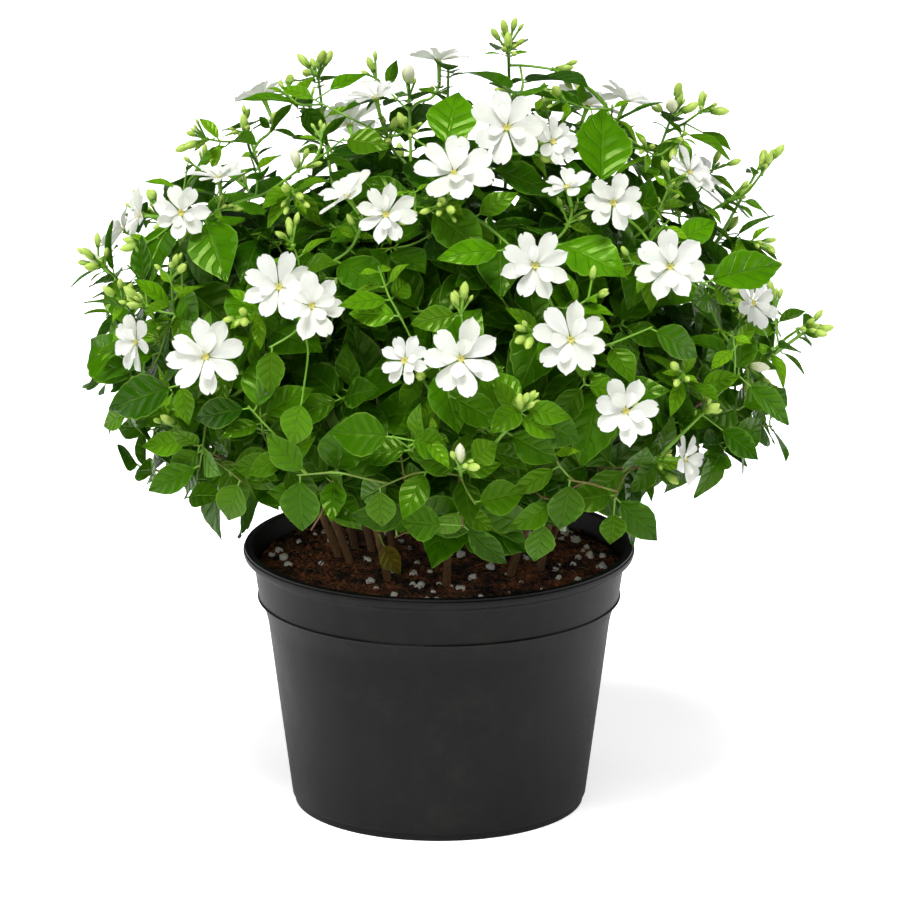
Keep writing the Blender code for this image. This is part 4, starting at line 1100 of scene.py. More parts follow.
young = []
for k in range(YOUNG_SHOOTS):
    height = asin(-0.15 + 1.13 * (k + 0.5) / YOUNG_SHOOTS)
    azimuth = k * GOLDEN_ANGLE + 0.4
    reach = min(0.94 + 0.1 * draw.random(), 1.03 - 0.03 * sin(height))
    point = crown_point(azimuth, height, reach)
    if any((end.end - point).length < 0.017 for end in branches):
        continue
    if point.z > CLEFT_FROM and noise.noise(point * CLEFT_SCALE) < 0.02:
        continue
    way = (crown_normal(point) * 0.45 + UP * 0.7).normalized()
    shoot = grow_shoot(point, way, "leaf")
    if shoot:
        young.append(shoot)
        grow_young_pairs(shoot, ((0.9, 0.012), (0.66, 0.02), (0.42, 0.028)), FREE_PAIR_REACH)
print(len(young), "young shoots;", len(leaves), "leaves")

# %% Young leaves and buds at the other tips
OUTSIDE_FROM = 0.84
for branch in branches:
    path = branch.path
    if crown_depth(path[-1]) < OUTSIDE_FROM:
        continue
    if branch.kind == "stem":
        grow_young_pairs(branch, ((0.97, 0.013), (0.9, 0.019)), FREE_PAIR_REACH)
    elif branch.kind == "flower":
        grow_young_pairs(branch, ((0.8, 0.014),), FREE_PAIR_REACH)
        node, along = path_at(path, 0.84)
        for _ in range(4):
            grow_small_bud(node, along, branch.owner, (0.5, 1.1))
    if branch.kind == "leaf" and path[-1].z < CROWN_CENTRE.z:
        continue
    share = 0.65 if branch in young else 0.2 if branch.kind == "leaf" else 1.0
    if branch.kind != "flower" and draw.random() < share:
        for _ in range(6):
            axis = way_into(path)
            grow_small_bud(path[-1] - axis * SHOOT_END * 0.5, axis, branch.owner)
print(len(leaves), "leaves and", len(buds), "buds in all")

# %% [markdown]
# ## One way to add a node
# Materials and Geometry Nodes trees are both built from nodes. One small function adds a node, sets what is special
# about it, and links or sets its inputs. Colours are sRGB hex values, as in a paint program, and one function turns
# them to the linear values that Blender reckons with.

# %% Nodes and colours
def add_node(tree, kind, *values, **settings):
    """Adds a node and sets what is special about it. Its inputs in use take the values in order, and None leaves
    one as it is; or a dictionary names them. A value that is a node or one of its outputs is linked."""
    node = tree.nodes.new(kind)
    for name, value in settings.items():
        setattr(node, name, value)
    inputs = [socket for socket in node.inputs if socket.enabled]
    named = values and isinstance(values[0], dict)
    for key, value in values[0].items() if named else enumerate(values):
        socket = node.inputs[key] if named else inputs[key]
        if isinstance(value, bpy.types.Node):
            value = next(output for output in value.outputs if output.enabled)
        if isinstance(value, bpy.types.NodeSocket):
            tree.links.new(value, socket)
        elif value is not None:
            socket.default_value = value
    return node


def colour(code):
    """The linear colour of an sRGB hex value."""
    values = [int(code[i:i + 2], 16) / 255 for i in (1, 3, 5)]
    linear = [v / 12.92 if v <= 0.04045 else ((v + 0.055) / 1.055) ** 2.4 for v in values]
    return (*linear, 1.0)


def new_material(name):
    """A material, what adds nodes to its tree, and the place on the object that its noises follow."""
    material = bpy.data.materials.new(name)
    material.use_nodes = True
    material.node_tree.nodes.clear()
    add = partial(add_node, material.node_tree)
    return material, add, add("ShaderNodeTexCoord").outputs["Object"]


def blade_place(add):
    """The two shares of the blade map: along the part and from edge to edge."""
    blade_map = add("ShaderNodeUVMap", uv_map="blade")
    return add("ShaderNodeSeparateXYZ", blade_map).outputs[:2]


def finish_skin(add, height, looks, strength, depth, glow=None, glow_share=0.0):
    """Ends a material: its relief, its skin, and the light that shines through where it is thin."""
    relief = add("ShaderNodeBump", {"Strength": strength, "Distance": depth, "Height": height})
    flesh = add("ShaderNodeBsdfPrincipled", {**looks, "Normal": relief})
    if glow:
        shine = add("ShaderNodeBsdfTranslucent", {"Color": glow, "Normal": relief})
        flesh = add("ShaderNodeMixShader", glow_share, flesh, shine)
    add("ShaderNodeOutputMaterial", flesh)


print("middle grey is", round(colour("#808080")[0], 3), "in linear values")

# %% [markdown]
# ## Running a tree of nodes
# A Geometry Nodes tree is a recipe. It is put on a source object as a modifier, its named inputs are set by their
# identifiers, and the result is kept as a plain mesh that no longer depends on the tree.

# %% Make a tree, and run one
def new_tree(name, sizes):
    """A tree with geometry in and out and an input for each size, what adds nodes to it, and the identifiers."""
    tree = bpy.data.node_groups.new(name, "GeometryNodeTree")
    for way in ("OUTPUT", "INPUT"):
        tree.interface.new_socket("Geometry", in_out=way, socket_type="NodeSocketGeometry")
    identifiers = {}
    for size, value in sizes.items():
        kind = "NodeSocketInt" if isinstance(value, int) else "NodeSocketFloat"
        socket = tree.interface.new_socket(size, in_out="INPUT", socket_type=kind)
        socket.default_value = value
        identifiers[size] = socket.identifier
    return tree, partial(add_node, tree), identifiers


def grow_piece(source, tree, identifiers, name, sizes):
    """Runs a tree on a source object and keeps the result as a plain mesh, without empty material slots."""
    steps = source.modifiers.new("steps", "NODES")
    steps.node_group = tree
    for size, value in sizes.items():
        steps[identifiers[size]] = value
    graph = bpy.context.evaluated_depsgraph_get()
    mesh = bpy.data.meshes.new_from_object(source.evaluated_get(graph), depsgraph=graph)
    mesh.name = name
    bpy.data.objects.remove(source)
    worn_slots = [0] * len(mesh.polygons)
    mesh.polygons.foreach_get("material_index", worn_slots)
    kept = [slot for slot, material in enumerate(mesh.materials) if material]
    for slot in reversed(range(len(mesh.materials))):
        if slot not in kept:
            mesh.materials.pop(index=slot)
    mesh.polygons.foreach_set("material_index", [kept.index(slot) for slot in worn_slots])
    return new_object(name, mesh)


def drop_patterns(collection):
    """Removes a collection and its objects, once the pieces that they were set out on are plain meshes."""
    for pattern in list(collection.objects):
        bpy.data.objects.remove(pattern)
    bpy.data.collections.remove(collection)


print(len(bpy.data.node_groups), "trees before the first piece")

# %% [markdown]
# ## Finish: jasmine leaf
# A living leaf has a waxy skin with soft highlights, a paler midrib with five or six pairs of side veins sunk into
# its upper face, and a paler, duller underside. Light shines through it, so leaves against the light look
# yellow-green. Veins could be painted, but each blade has a UV map from stalk to tip and edge to edge, so a formula
# draws them sharply at any size.

# %% Jasmine leaf, waxy, with sunken veins
VEIN_PAIRS = 5.0
VEIN_SWEEP = 1.15

jasmine_leaf, add, spot = new_material("jasmine leaf, waxy")
along, side = blade_place(add)
doubled = add("ShaderNodeMath", side, 2.0, -1.0, operation="MULTIPLY_ADD")
aside = add("ShaderNodeMath", doubled, operation="ABSOLUTE")
midrib = add("ShaderNodeMapRange", aside, 0.02, 0.11, 1.0, 0.0, interpolation_type="SMOOTHSTEP")
# Each side vein starts at the midrib and sweeps forward to the edge, so its phase falls with the distance aside
phase = add("ShaderNodeMath", along, VEIN_PAIRS, operation="MULTIPLY")
swept = add("ShaderNodeMath", aside, -VEIN_SWEEP, phase, operation="MULTIPLY_ADD")
between = add("ShaderNodeMath", swept, 0.5, operation="PINGPONG")
side_vein = add("ShaderNodeMapRange", between, 0.0, 0.09, 1.0, 0.0, interpolation_type="SMOOTHSTEP")
fading = add("ShaderNodeMapRange", aside, 0.55, 0.95, 1.0, 0.0)
side_vein = add("ShaderNodeMath", side_vein, fading, operation="MULTIPLY")
veins = add("ShaderNodeMath", midrib, side_vein, operation="MAXIMUM")
# A lighter green along the edge is a painted highlight, where light catches the rim
margin = add("ShaderNodeMapRange", aside, 0.91, 0.98, 0.0, 1.0, interpolation_type="SMOOTHSTEP")

# %% The leaf's colours
tone, youth, under = (
    add("ShaderNodeAttribute", attribute_name=name).outputs["Fac"] for name in ("tone", "youth", "under")
)
mottle = add("ShaderNodeTexNoise", spot, 120.0, 3.0)
# The leaf's green runs from dark to light with an attribute: a tone that differs at random, made darker as painted
# shade in leaves deep in the crown and low down
grown = add("ShaderNodeMix", tone, colour("#163f01"), colour("#5c9b06"), data_type="RGBA")
speckle = add("ShaderNodeMapRange", mottle, 0.35, 0.75, 0.0, 0.5)
grown = add("ShaderNodeMix", speckle, grown, colour("#2c5f02"), data_type="RGBA")
green = add("ShaderNodeMix", youth, grown, colour("#86bd1c"), data_type="RGBA")
# The value -1 for youth marks a leaf that has died and browned
dead = add("ShaderNodeMath", youth, -0.5, operation="LESS_THAN")
withered = add("ShaderNodeMix", speckle, colour("#7d6a1e"), colour("#5a3a1c"), data_type="RGBA")
green = add("ShaderNodeMix", dead, green, withered, data_type="RGBA")
# The veins and the paler underside are the leaf's own colours; the lighter edge is a painted highlight
for where, strength, tint in ((veins, 0.17, "#6f9f20"), (margin, 0.35, "#93bd48"), (under, 0.6, "#4f8420")):
    share = add("ShaderNodeMath", where, strength, operation="MULTIPLY")
    green = add("ShaderNodeMix", share, green, colour(tint), data_type="RGBA")

# %% The leaf's skin and glow
# The flesh stands up 0.3 mm between the veins. The finest net of veins, under a millimetre, is left to the noise
hump = add("ShaderNodeMath", veins, -1.0, between, operation="MULTIPLY_ADD")
hump = add("ShaderNodeMath", mottle, 0.35, hump, operation="MULTIPLY_ADD")
dullness = add("ShaderNodeMapRange", under, None, None, 0.23, 0.6)
glow = add("ShaderNodeMix", 0.45, green, colour("#8ac806"), data_type="RGBA")
looks = {"Base Color": green, "Roughness": dullness, "IOR": 1.45, "Specular Tint": colour("#c4e478")}
finish_skin(add, hump, looks, strength=0.8, depth=0.0007, glow=glow, glow_share=0.34)
print(jasmine_leaf.name, "has", len(jasmine_leaf.node_tree.nodes), "nodes")

# %% [markdown]
# ## Finish: green wood
# The stems are green where they grew this year and brown and barky towards the soil. An attribute along each stem
# tells how young the wood is, so one material serves from the root to the flower's stalk.

# %% Green wood, from bark to young shoot
green_wood, add, spot = new_material("jasmine wood, green to brown")
youth = add("ShaderNodeAttribute", attribute_name="youth").outputs["Fac"]
# Bark runs in fine lengthwise ridges, so the noise is squeezed across the stems and drawn out upwards
stretched = add("ShaderNodeMapping", spot, None, None, (900.0, 900.0, 120.0))
ridges = add("ShaderNodeTexNoise", stretched, 1.0, 4.0)
patches = add("ShaderNodeTexNoise", spot, 90.0)
bark = add("ShaderNodeMix", ridges, colour("#3a2612"), colour("#8f6a3c"), data_type="RGBA")
shoot = add("ShaderNodeMix", patches, colour("#47780c"), colour("#79ab22"), data_type="RGBA")
ripeness = add("ShaderNodeMath", patches, 0.3, youth, operation="MULTIPLY_ADD")
greenness = add("ShaderNodeMapRange", ripeness, 0.3, 0.55, 0.0, 1.0, interpolation_type="SMOOTHSTEP")
rind = add("ShaderNodeMix", greenness, bark, shoot, data_type="RGBA")
dullness = add("ShaderNodeMapRange", greenness, None, None, 0.75, 0.45)
finish_skin(add, ridges, {"Base Color": rind, "Roughness": dullness}, strength=0.5, depth=0.0003)
print(green_wood.name, "has", len(green_wood.node_tree.nodes), "nodes")

# %% [markdown]
# ## Finish: petals
# A jasmine petal is white because light scatters in its cells. Some light passes through, so the folds between petals
# stay bright. Its foot is tinted yellow-green, and fine veins run its length.

# %% White petal
white_petal, add, spot = new_material("jasmine petal, white")
along, side = blade_place(add)
tone = add("ShaderNodeAttribute", attribute_name="tone").outputs["Fac"]
fan = add("ShaderNodeMath", side, 11.0, operation="MULTIPLY")
vein = add("ShaderNodeMath", fan, 0.5, operation="PINGPONG")
crinkle = add("ShaderNodeTexNoise", spot, 350.0, 2.0)
white = add("ShaderNodeMix", tone, colour("#fefefc"), colour("#f7f8f2"), data_type="RGBA")
foot = add("ShaderNodeMapRange", along, 0.02, 0.17, 0.55, 0.0, interpolation_type="SMOOTHSTEP")
white = add("ShaderNodeMix", foot, white, colour("#eeeeb4"), data_type="RGBA")
height = add("ShaderNodeMath", crinkle, 0.6, vein, operation="MULTIPLY_ADD")
looks = {"Base Color": white, "Roughness": 0.6, "IOR": 1.4}
finish_skin(add, height, looks, strength=0.35, depth=0.0004, glow=white, glow_share=0.6)
print(white_petal.name, "has", len(white_petal.node_tree.nodes), "nodes")

# %% Bud, calyx and throat
def grown_flesh(name, foot, tip, roughness, glow_share):
    """A fleshy part whose colour runs from its foot to its tip along the blade map, with a fine uneven skin."""
    material, add, spot = new_material(name)
    along, _ = blade_place(add)
    uneven = add("ShaderNodeTexNoise", spot, 500.0, 2.0)
    blotch = add("ShaderNodeMath", uneven, 0.5, along, operation="MULTIPLY_ADD")
    share = add("ShaderNodeMapRange", blotch, 0.25, 0.85, interpolation_type="SMOOTHSTEP")
    tint = add("ShaderNodeMix", share, colour(foot), colour(tip), data_type="RGBA")
    relief = add("ShaderNodeBump", {"Strength": 0.3, "Distance": 0.0003, "Height": uneven})
    looks = {"Base Color": tint, "Roughness": roughness, "Normal": relief}
    skin = add("ShaderNodeBsdfPrincipled", looks)
    glow = add("ShaderNodeBsdfTranslucent", {"Color": tint})
    flesh = add("ShaderNodeMixShader", glow_share, skin, glow)
    add("ShaderNodeOutputMaterial", flesh)
    return material


# A bud is closed petals: green-white at its foot and cream at its tip, with a soft gloss
cream_bud = grown_flesh("jasmine bud, cream", "#c3d478", "#fbfbe4", 0.45, 0.35)
# A small bud is still green, and so is the calyx with its thin teeth
green_bud = grown_flesh("jasmine calyx, green", "#62a012", "#bfd864", 0.45, 0.3)
# The throat is where the petals join into a tube: yellow, deeper towards its middle
yellow_throat = grown_flesh("jasmine throat, yellow", "#f6f4d6", "#dcd478", 0.5, 0.4)
print(cream_bud.name, "|", green_bud.name, "|", yellow_throat.name)

# %% [markdown]
# ## Patterns for blades
# Leaves and petals are too many to model one by one, and each is small in view, so a few patterns are made and set
# out in many sizes and turns. A blade has an upper and a lower skin that share one sharp rim. It is one unit long
# and one wide, and carries the map that the veins follow.

# %% A blade with two skins
BLADE_COLUMNS = (-1.0, -0.5, 0.0, 0.5, 1.0)
LARGE_BLADE_COLUMNS = (-1.0, -0.8, -0.5, -0.2, 0.0, 0.2, 0.5, 0.8, 1.0)
patterns = bpy.data.collections.new("patterns")
SCENE.collection.children.link(patterns)


def finish_pattern(name, points, faces, uvs, under):
    """A pattern as an object of its own, with its map and the share of each face that looks down."""
    mesh = new_mesh(name, points, [], faces)
    blade_map = mesh.uv_layers.new(name="blade")
    for loop in mesh.loops:
        blade_map.uv[loop.index].vector = uvs[loop.vertex_index]
    mesh.attributes.new("under", "FLOAT", "FACE").data.foreach_set("value", under)
    mesh.update()
    new_object(name, mesh, patterns)
    return mesh


def blade_pattern(name, stations, half_width, rise, thickness, notch=0.0, columns=BLADE_COLUMNS):
    """A blade from (0, 0, 0) to (1, 0, 0): `rise` lifts its skin, `half_width` is its outline."""
    def skin(t, s, drop=0.0):
        x = t * (1.0 - notch * (1.0 - abs(s)) ** 2 * t**8)
        return (x, s * half_width(t), rise(t, s) - drop * min(1.0, 6.0 * t, 9.0 * (1.0 - t)))

    points, uvs = [skin(0.0, 0.0), skin(1.0, 0.0)], [(0.0, 0.5), (1.0, 0.5)]

    def new_row(t, shares, drop):
        uvs.extend((t, (s + 1.0) / 2.0) for s in shares)
        points.extend(skin(t, s, drop) for s in shares)
        return list(range(len(points) - len(shares), len(points)))

    upper, lower = [], []
    for t in stations:
        row = new_row(t, columns, 0.0)
        upper.append(row)
        lower.append([row[0], *new_row(t, columns[1:-1], thickness), row[-1]])
    faces, under = [], []
    strips = range(len(columns) - 1)
    for rows, down in ((upper, 0.0), (lower, 1.0)):
        skin_faces = [(0, rows[0][k + 1], rows[0][k]) for k in strips]
        skin_faces += [(rows[-1][k], rows[-1][k + 1], 1) for k in strips]
        for near, far in zip(rows, rows[1:]):
            skin_faces += [(near[k], near[k + 1], far[k + 1], far[k]) for k in strips]
        # Seen from above the ends wind the other way round, so each face is turned to look out of its skin
        for face in skin_faces:
            a, b, c = (Vector(points[i]) for i in face[:3])
            looks_up = (b - a).cross(c - a).z > 0.0
            faces.append(face if looks_up == (down == 0.0) else face[::-1])
            under.append(down)
    mesh = finish_pattern(name, points, faces, uvs, under)
    rim = {0, 1, *(row[0] for row in upper), *(row[-1] for row in upper)}
    sharp = [edge.vertices[0] in rim and edge.vertices[1] in rim for edge in mesh.edges]
    mesh.attributes.new("sharp_edge", "BOOLEAN", "EDGE").data.foreach_set("value", sharp)
    return len(faces)


# %% Leaf patterns
LEAF_THICKNESS = 0.009
LEAF_STATIONS = (0.08, 0.22, 0.38, 0.54, 0.7, 0.84, 0.94)
LEAF_ARCHES = (0.026, 0.042, 0.06)


def pointed_half_width(t):
    """Half the width of a fine leaf: broadest below the middle, with a drawn-out tip."""
    return sin(pi * t**0.84) ** 0.92 * (1.0 - 0.36 * t**3) * 0.5 if 0.0 < t < 1.0 else 0.0


def leaf_rise(arch, fold, wave, phase):
    """The lift of a leaf's skin: it arches from stalk to tip, folds along its midrib and waves at its edges."""
    def rise(t, s):
        folded = fold * abs(s) * pointed_half_width(t) * 0.66
        waved = wave * s * s * sin(phase + WAVE_ALONG * t + WAVE_ASIDE * s)
        return 4.0 * arch * t * (1.0 - t) + folded + waved
    return rise


shape_draw = random.Random(23)
for number in range(6):
    chances = [shape_draw.uniform(*span) for span in ((0.1, 0.3), (0.016, 0.034), (0.0, 6.28))]
    rise = leaf_rise(LEAF_ARCHES[number // 2], *chances)
    faces = blade_pattern(f"{number:02d} leaf", LEAF_STATIONS, pointed_half_width, rise, LEAF_THICKNESS)
print("a leaf pattern has", faces, "faces")

# %% Large leaf patterns
# The few dozen large leaves that stand out are seen close, so their patterns have the quilted skin between the
# side veins and the shallow teeth of the margin in their shape
FINE_LEAF_STATIONS = tuple(0.03 + 0.94 * k / 19 for k in range(20))
QUILT_DEPTH = 0.0075


def quilted(rise, depth):
    """The same lift, with the flesh pushed up between the side veins."""
    def quilted_rise(t, s):
        between = cos(2.0 * pi * (VEIN_PAIRS * t - VEIN_SWEEP * abs(s)))
        quilt = depth * between * sin(pi * min(abs(s) * 1.15, 1.0))
        return rise(t, s) - quilt - depth * (1.0 - abs(s)) ** 6
    return quilted_rise


def toothed_half_width(t):
    """The outline with shallow blunt teeth towards the tip."""
    return pointed_half_width(t) * (1.0 + 0.05 * sin(2.0 * pi * 6.5 * t) * min(2.0 * t, 1.0))


for number, form in enumerate((
    (0.04, 0.22, 0.02, 0.6), (0.055, 0.14, 0.03, 2.4), (0.03, 0.3, 0.024, 3.9), (0.06, 0.24, 0.018, 5.2),
), 14):
    rise = quilted(leaf_rise(*form), QUILT_DEPTH)
    name = f"{number:02d} large leaf"
    faces = blade_pattern(
        name, FINE_LEAF_STATIONS, toothed_half_width, rise, LEAF_THICKNESS, columns=LARGE_BLADE_COLUMNS
    )
print("a large leaf pattern has", faces, "faces")

# %% Petal patterns
PETAL_THICKNESS = 0.016
PETAL_STATIONS = (0.1, 0.28, 0.48, 0.68, 0.84, 0.94, 0.985)


def petal_outline(t):
    """Half the width of a fine petal: a narrow claw, broadest at two thirds, and a round end."""
    return 0.5 * t**0.95 * max(1.0 - t**3.6, 0.0) ** 0.66 / 0.563


def petal_rise(arch, cup, curl, wave):
    """The lift of a petal's skin: it arches, its edges cup upwards, and its end curls back."""
    def rise(t, s):
        cupped = cup * s * s * petal_outline(t) * 0.7
        curled = curl * t**4 * (0.6 + 0.4 * s * s)
        return 4.0 * arch * t * (1.0 - t) + cupped - curled + wave * s * sin(6.0 * t + 2.0 * s)
    return rise


for number, (*form, notch) in enumerate((
    (0.05, 0.2, 0.03, 0.02, 0.06),
    (0.065, 0.28, 0.0, 0.03, -0.05),
    (0.04, 0.14, 0.06, 0.035, 0.1),
    (0.08, 0.34, -0.06, 0.02, 0.0),
    (-0.05, 0.45, -0.08, 0.03, -0.06),
), 6):
    rise = petal_rise(*form)
    faces = blade_pattern(f"{number:02d} petal", PETAL_STATIONS, petal_outline, rise, PETAL_THICKNESS, notch)
print("a petal pattern has", faces, "faces")

# %% Patterns of the round parts
def lathe_pattern(name, profile, sides):
    """A closed shape turned round the x axis from (x, radius) rows, whose first and last radius are zero."""
    points, uvs, faces = [(profile[0][0], 0.0, 0.0)], [(0.0, 0.5)], []
    for row, (x, radius) in enumerate(profile[1:-1], 1):
        for k in range(sides):
            angle = 2.0 * pi * k / sides
            points.append((x, radius * cos(angle), radius * sin(angle)))
            uvs.append((row / (len(profile) - 1), k / sides))
    points.append((profile[-1][0], 0.0, 0.0))
    uvs.append((1.0, 0.5))
    last, top = len(points) - 1, (len(profile) - 3) * sides
    for k in range(1, sides + 1):
        after = k % sides + 1
        faces.append((0, after, k))
        faces += [(ring + k, ring + after, ring + after + sides, ring + k + sides) for ring in range(0, top, sides)]
        faces.append((top + k, top + after, last))
    finish_pattern(name, points, faces, uvs, [0.0] * len(faces))
    return len(faces)


BUD_PROFILE = (
    (0.0, 0.0), (0.02, 0.11), (0.2, 0.18), (0.44, 0.24), (0.68, 0.215), (0.86, 0.13), (0.97, 0.04), (1.0, 0.0),
)
THROAT_PROFILE = ((-1.1, 0.0), (-0.9, 0.45), (-0.1, 0.98), (0.0, 1.0), (-0.1, 0.72), (-0.55, 0.3), (-0.8, 0.0))
print("a bud has", lathe_pattern("11 bud", BUD_PROFILE, 8), "faces")
print("a throat has", lathe_pattern("12 throat", THROAT_PROFILE, 10), "faces")


def teeth_pattern(name, count, spread, base):
    """A ring of thin pointed teeth, one unit long, as on a jasmine's calyx."""
    points, uvs, faces = [], [], []
    for k in range(count):
        angle = 2.0 * pi * (k + 0.5 * sin(3.0 * k)) / count
        out = Vector((0.0, cos(angle), sin(angle)))
        around = Vector((0.0, -sin(angle), cos(angle)))
        foot, first = out * base, len(points)
        points += [foot + around * 0.055, foot - around * 0.055, foot - out * 0.06]
        length = Vector((1.0 - 0.15 * (k % 3), 0.0, 0.0))
        points.append(foot + out * spread * (1.0 + 0.3 * sin(5.0 * k)) + length)
        uvs += [(0.0, 0.0), (0.0, 1.0), (0.0, 0.5), (1.0, 0.5)]
        faces += [(first, first + 1, first + 2), (first, first + 3, first + 1)]
        faces += [(first + 1, first + 3, first + 2), (first + 2, first + 3, first)]
    finish_pattern(name, points, faces, uvs, [0.0] * len(faces))
    return len(faces)


print("the calyx teeth have", teeth_pattern("13 calyx teeth", 8, 0.42, 0.24), "faces")

# %% [markdown]
# ## The plant's tree of nodes
# A stem, its shoots and leaf stalks are tubes along paths, and its leaves, petals and buds are patterns set out on
# points. A source mesh carries the paths as edges with their thickness, and a loose point for each blade with its
# direction, face and size. The tree rounds the bends, wraps the paths in bark, sets a pattern on each point, and
# gives each kind its material.

# %% Kinds of parts and their materials
WOOD, LEAF, PETAL, BUD, SMALL_BUD, THROAT = range(6)
KIND_MATERIALS = (green_wood, jasmine_leaf, white_petal, cream_bud, green_bud, yellow_throat)
PATTERN_OF = {"leaf": 0, "petal": 6, "bud": 11, "throat": 12, "teeth": 13, "large leaf": 14}
print(len(KIND_MATERIALS), "kinds of parts")

# %% Build the tree
plant_tree, add, plant_sockets = new_tree("jasmine growth", {
    "Bend radius": 0.03, "Bend steps": 3, "Wood sides": 7, "Thickness scale": 1.0,
})
given = add("NodeGroupInput").outputs
# The attributes of a source mesh, and their type
ATTRIBUTES = {
    "thickness": "FLOAT", "tone": "FLOAT", "youth": "FLOAT", "kind": "INT", "pattern": "INT",
    "way": "FLOAT_VECTOR", "face": "FLOAT_VECTOR", "size": "FLOAT_VECTOR",
}
read = {
    name: add("GeometryNodeInputNamedAttribute", name, data_type=kind)
    for name, kind in ATTRIBUTES.items() if name not in ("tone", "youth")
}
paths = add("GeometryNodeMeshToCurve", given["Geometry"])
bends = add("GeometryNodeFilletCurve", paths, given["Bend steps"], given["Bend radius"], True, mode="POLY")
ring = add("GeometryNodeCurvePrimitiveCircle", given["Wood sides"], given["Thickness scale"])
wood = add("GeometryNodeCurveToMesh", bends, ring, read["thickness"], True)

is_blade = add("FunctionNodeCompare", read["kind"], WOOD, data_type="INT", operation="GREATER_THAN")
blades = add("GeometryNodeSeparateGeometry", given["Geometry"], is_blade, domain="POINT")
pattern_list = add("GeometryNodeCollectionInfo", patterns, True, True)
turned = add("FunctionNodeAxesToRotation", read["way"], read["face"], primary_axis="X", secondary_axis="Z")
set_out = add("GeometryNodeInstanceOnPoints", blades, None, pattern_list, True, read["pattern"], turned, read["size"])
joined = add("GeometryNodeJoinGeometry", wood)
plant_tree.links.new(set_out.outputs[0], joined.inputs[0])
grown = add("GeometryNodeRealizeInstances", joined)
for kind, material in enumerate(KIND_MATERIALS):
    chosen = add("FunctionNodeCompare", read["kind"], kind, data_type="INT", operation="EQUAL")
    grown = add("GeometryNodeSetMaterial", grown, chosen, material)
add("NodeGroupOutput", grown)
print(plant_tree.name, "has", len(plant_tree.nodes), "nodes")

# %% A source mesh for the tree
PLAIN = dict(thickness=0.0, tone=0.0, youth=0.0, kind=WOOD, pattern=0, way=UP, face=UP, size=(1, 1, 1))


class Sprig:
    """What one piece of the plant is grown from: paths with a thickness, and points with a pattern."""

    def __init__(self):
        self.points, self.edges, self.rows = [], [], []

    def add(self, point, **row):
        """Adds a point with its attributes. Where its kind isn't wood, the tree sets its pattern there."""
        self.points.append(point)
        self.rows.append({**PLAIN, **row})

    def path(self, points, radii, ages):
        """Adds a tube along some points."""
        self.edges += [(len(self.points) + k, len(self.points) + k + 1) for k in range(len(points) - 1)]
        for point, radius, youth in zip(points, radii, ages):
            self.add(point, thickness=radius, youth=youth)

    def grow(self, name, sizes):
        """The finished piece: the tree's result as a plain mesh, without the modifier."""
        mesh = new_mesh(name, self.points, self.edges, [])
        for attribute, kind in ATTRIBUTES.items():
            values = np.ravel([row[attribute] for row in self.rows])
            key = "vector" if kind == "FLOAT_VECTOR" else "value"
            mesh.attributes.new(attribute, kind, "POINT").data.foreach_set(key, values)
        return grow_piece(new_object(name + "_source", mesh), plant_tree, plant_sockets, name, sizes)


print("each point has", len(ATTRIBUTES), "attributes")

# %% [markdown]
# ## The leafy stems
# Each stem of the solid model is replaced by its fine self with all its shoots, leaf stalks, leaves, buds and
# calyces. Young wood is thin and green, the foot is brown, and young leaves are small and bright.

# %% Leaves of a stem
FOOT_WOOD, TIP_WOOD = 0.85, 0.58
PETIOLE_RADIUS = 0.0005
LARGE_FROM = 0.041
THICK_STALK_FROM, CREAM_BUD_FROM = 0.0085, 0.0108
YOUNG_LEAF, GROWN_LEAF = 0.014, 0.034
large_leaves = []
finish_draw = random.Random(5)


def bound(share):
    return min(max(share, 0.0), 1.0)


def leaf_youth(leaf):
    """1 for the smallest leaves at the crown's surface, 0 for the grown ones and those in the shade."""
    small = (GROWN_LEAF - leaf.length) / (GROWN_LEAF - YOUNG_LEAF)
    outside = bound((crown_depth(leaf.foot) - 0.72) / 0.25)
    fresh = 1.0 if leaf.young else 0.45
    return bound(small) * outside * fresh * finish_draw.uniform(0.6, 1.0)


def add_leaf_parts(sprig, leaf):
    """A leaf stalk and a blade that keep to the rough leaf's place, size and droop."""
    start, end = leaf_point(leaf, 0.0, 0.0), leaf_point(leaf, 1.0, 0.0)
    way, length = (end - start).normalized(), (end - start).length
    arch = min(int(leaf.droop / MOST_DROOP * 3.0), 2)
    pattern = PATTERN_OF["leaf"] + 2 * arch + (leaf.phase > pi)
    if leaf.length > LARGE_FROM and crown_depth(end) > 0.9:
        large_leaves.append(leaf)
        pattern = PATTERN_OF["large leaf"] + int(leaf.phase * 2 / pi) % 4
    youth = -1.0 if leaf.dead else leaf_youth(leaf)
    sprig.path([leaf.foot, start + way * 0.0008], [PETIOLE_RADIUS, PETIOLE_RADIUS * 0.8], [0.9, 1.0])
    # Leaves deep in the crown and low down get a darker green: painted shade, over a tone that differs at random
    lit = min(crown_depth(end), 1.0) ** 3 * (0.2 + 0.8 * bound((end.z - 0.17) / 0.12))
    shade = finish_draw.uniform(0.0, 1.0) * (0.2 + 0.8 * lit)
    width = min(leaf.width, 0.7 * leaf.length)
    face, size = across(way, leaf.normal), (length, width, length)
    sprig.add(start, kind=LEAF, pattern=pattern, way=way, face=face, size=size, tone=shade, youth=youth)


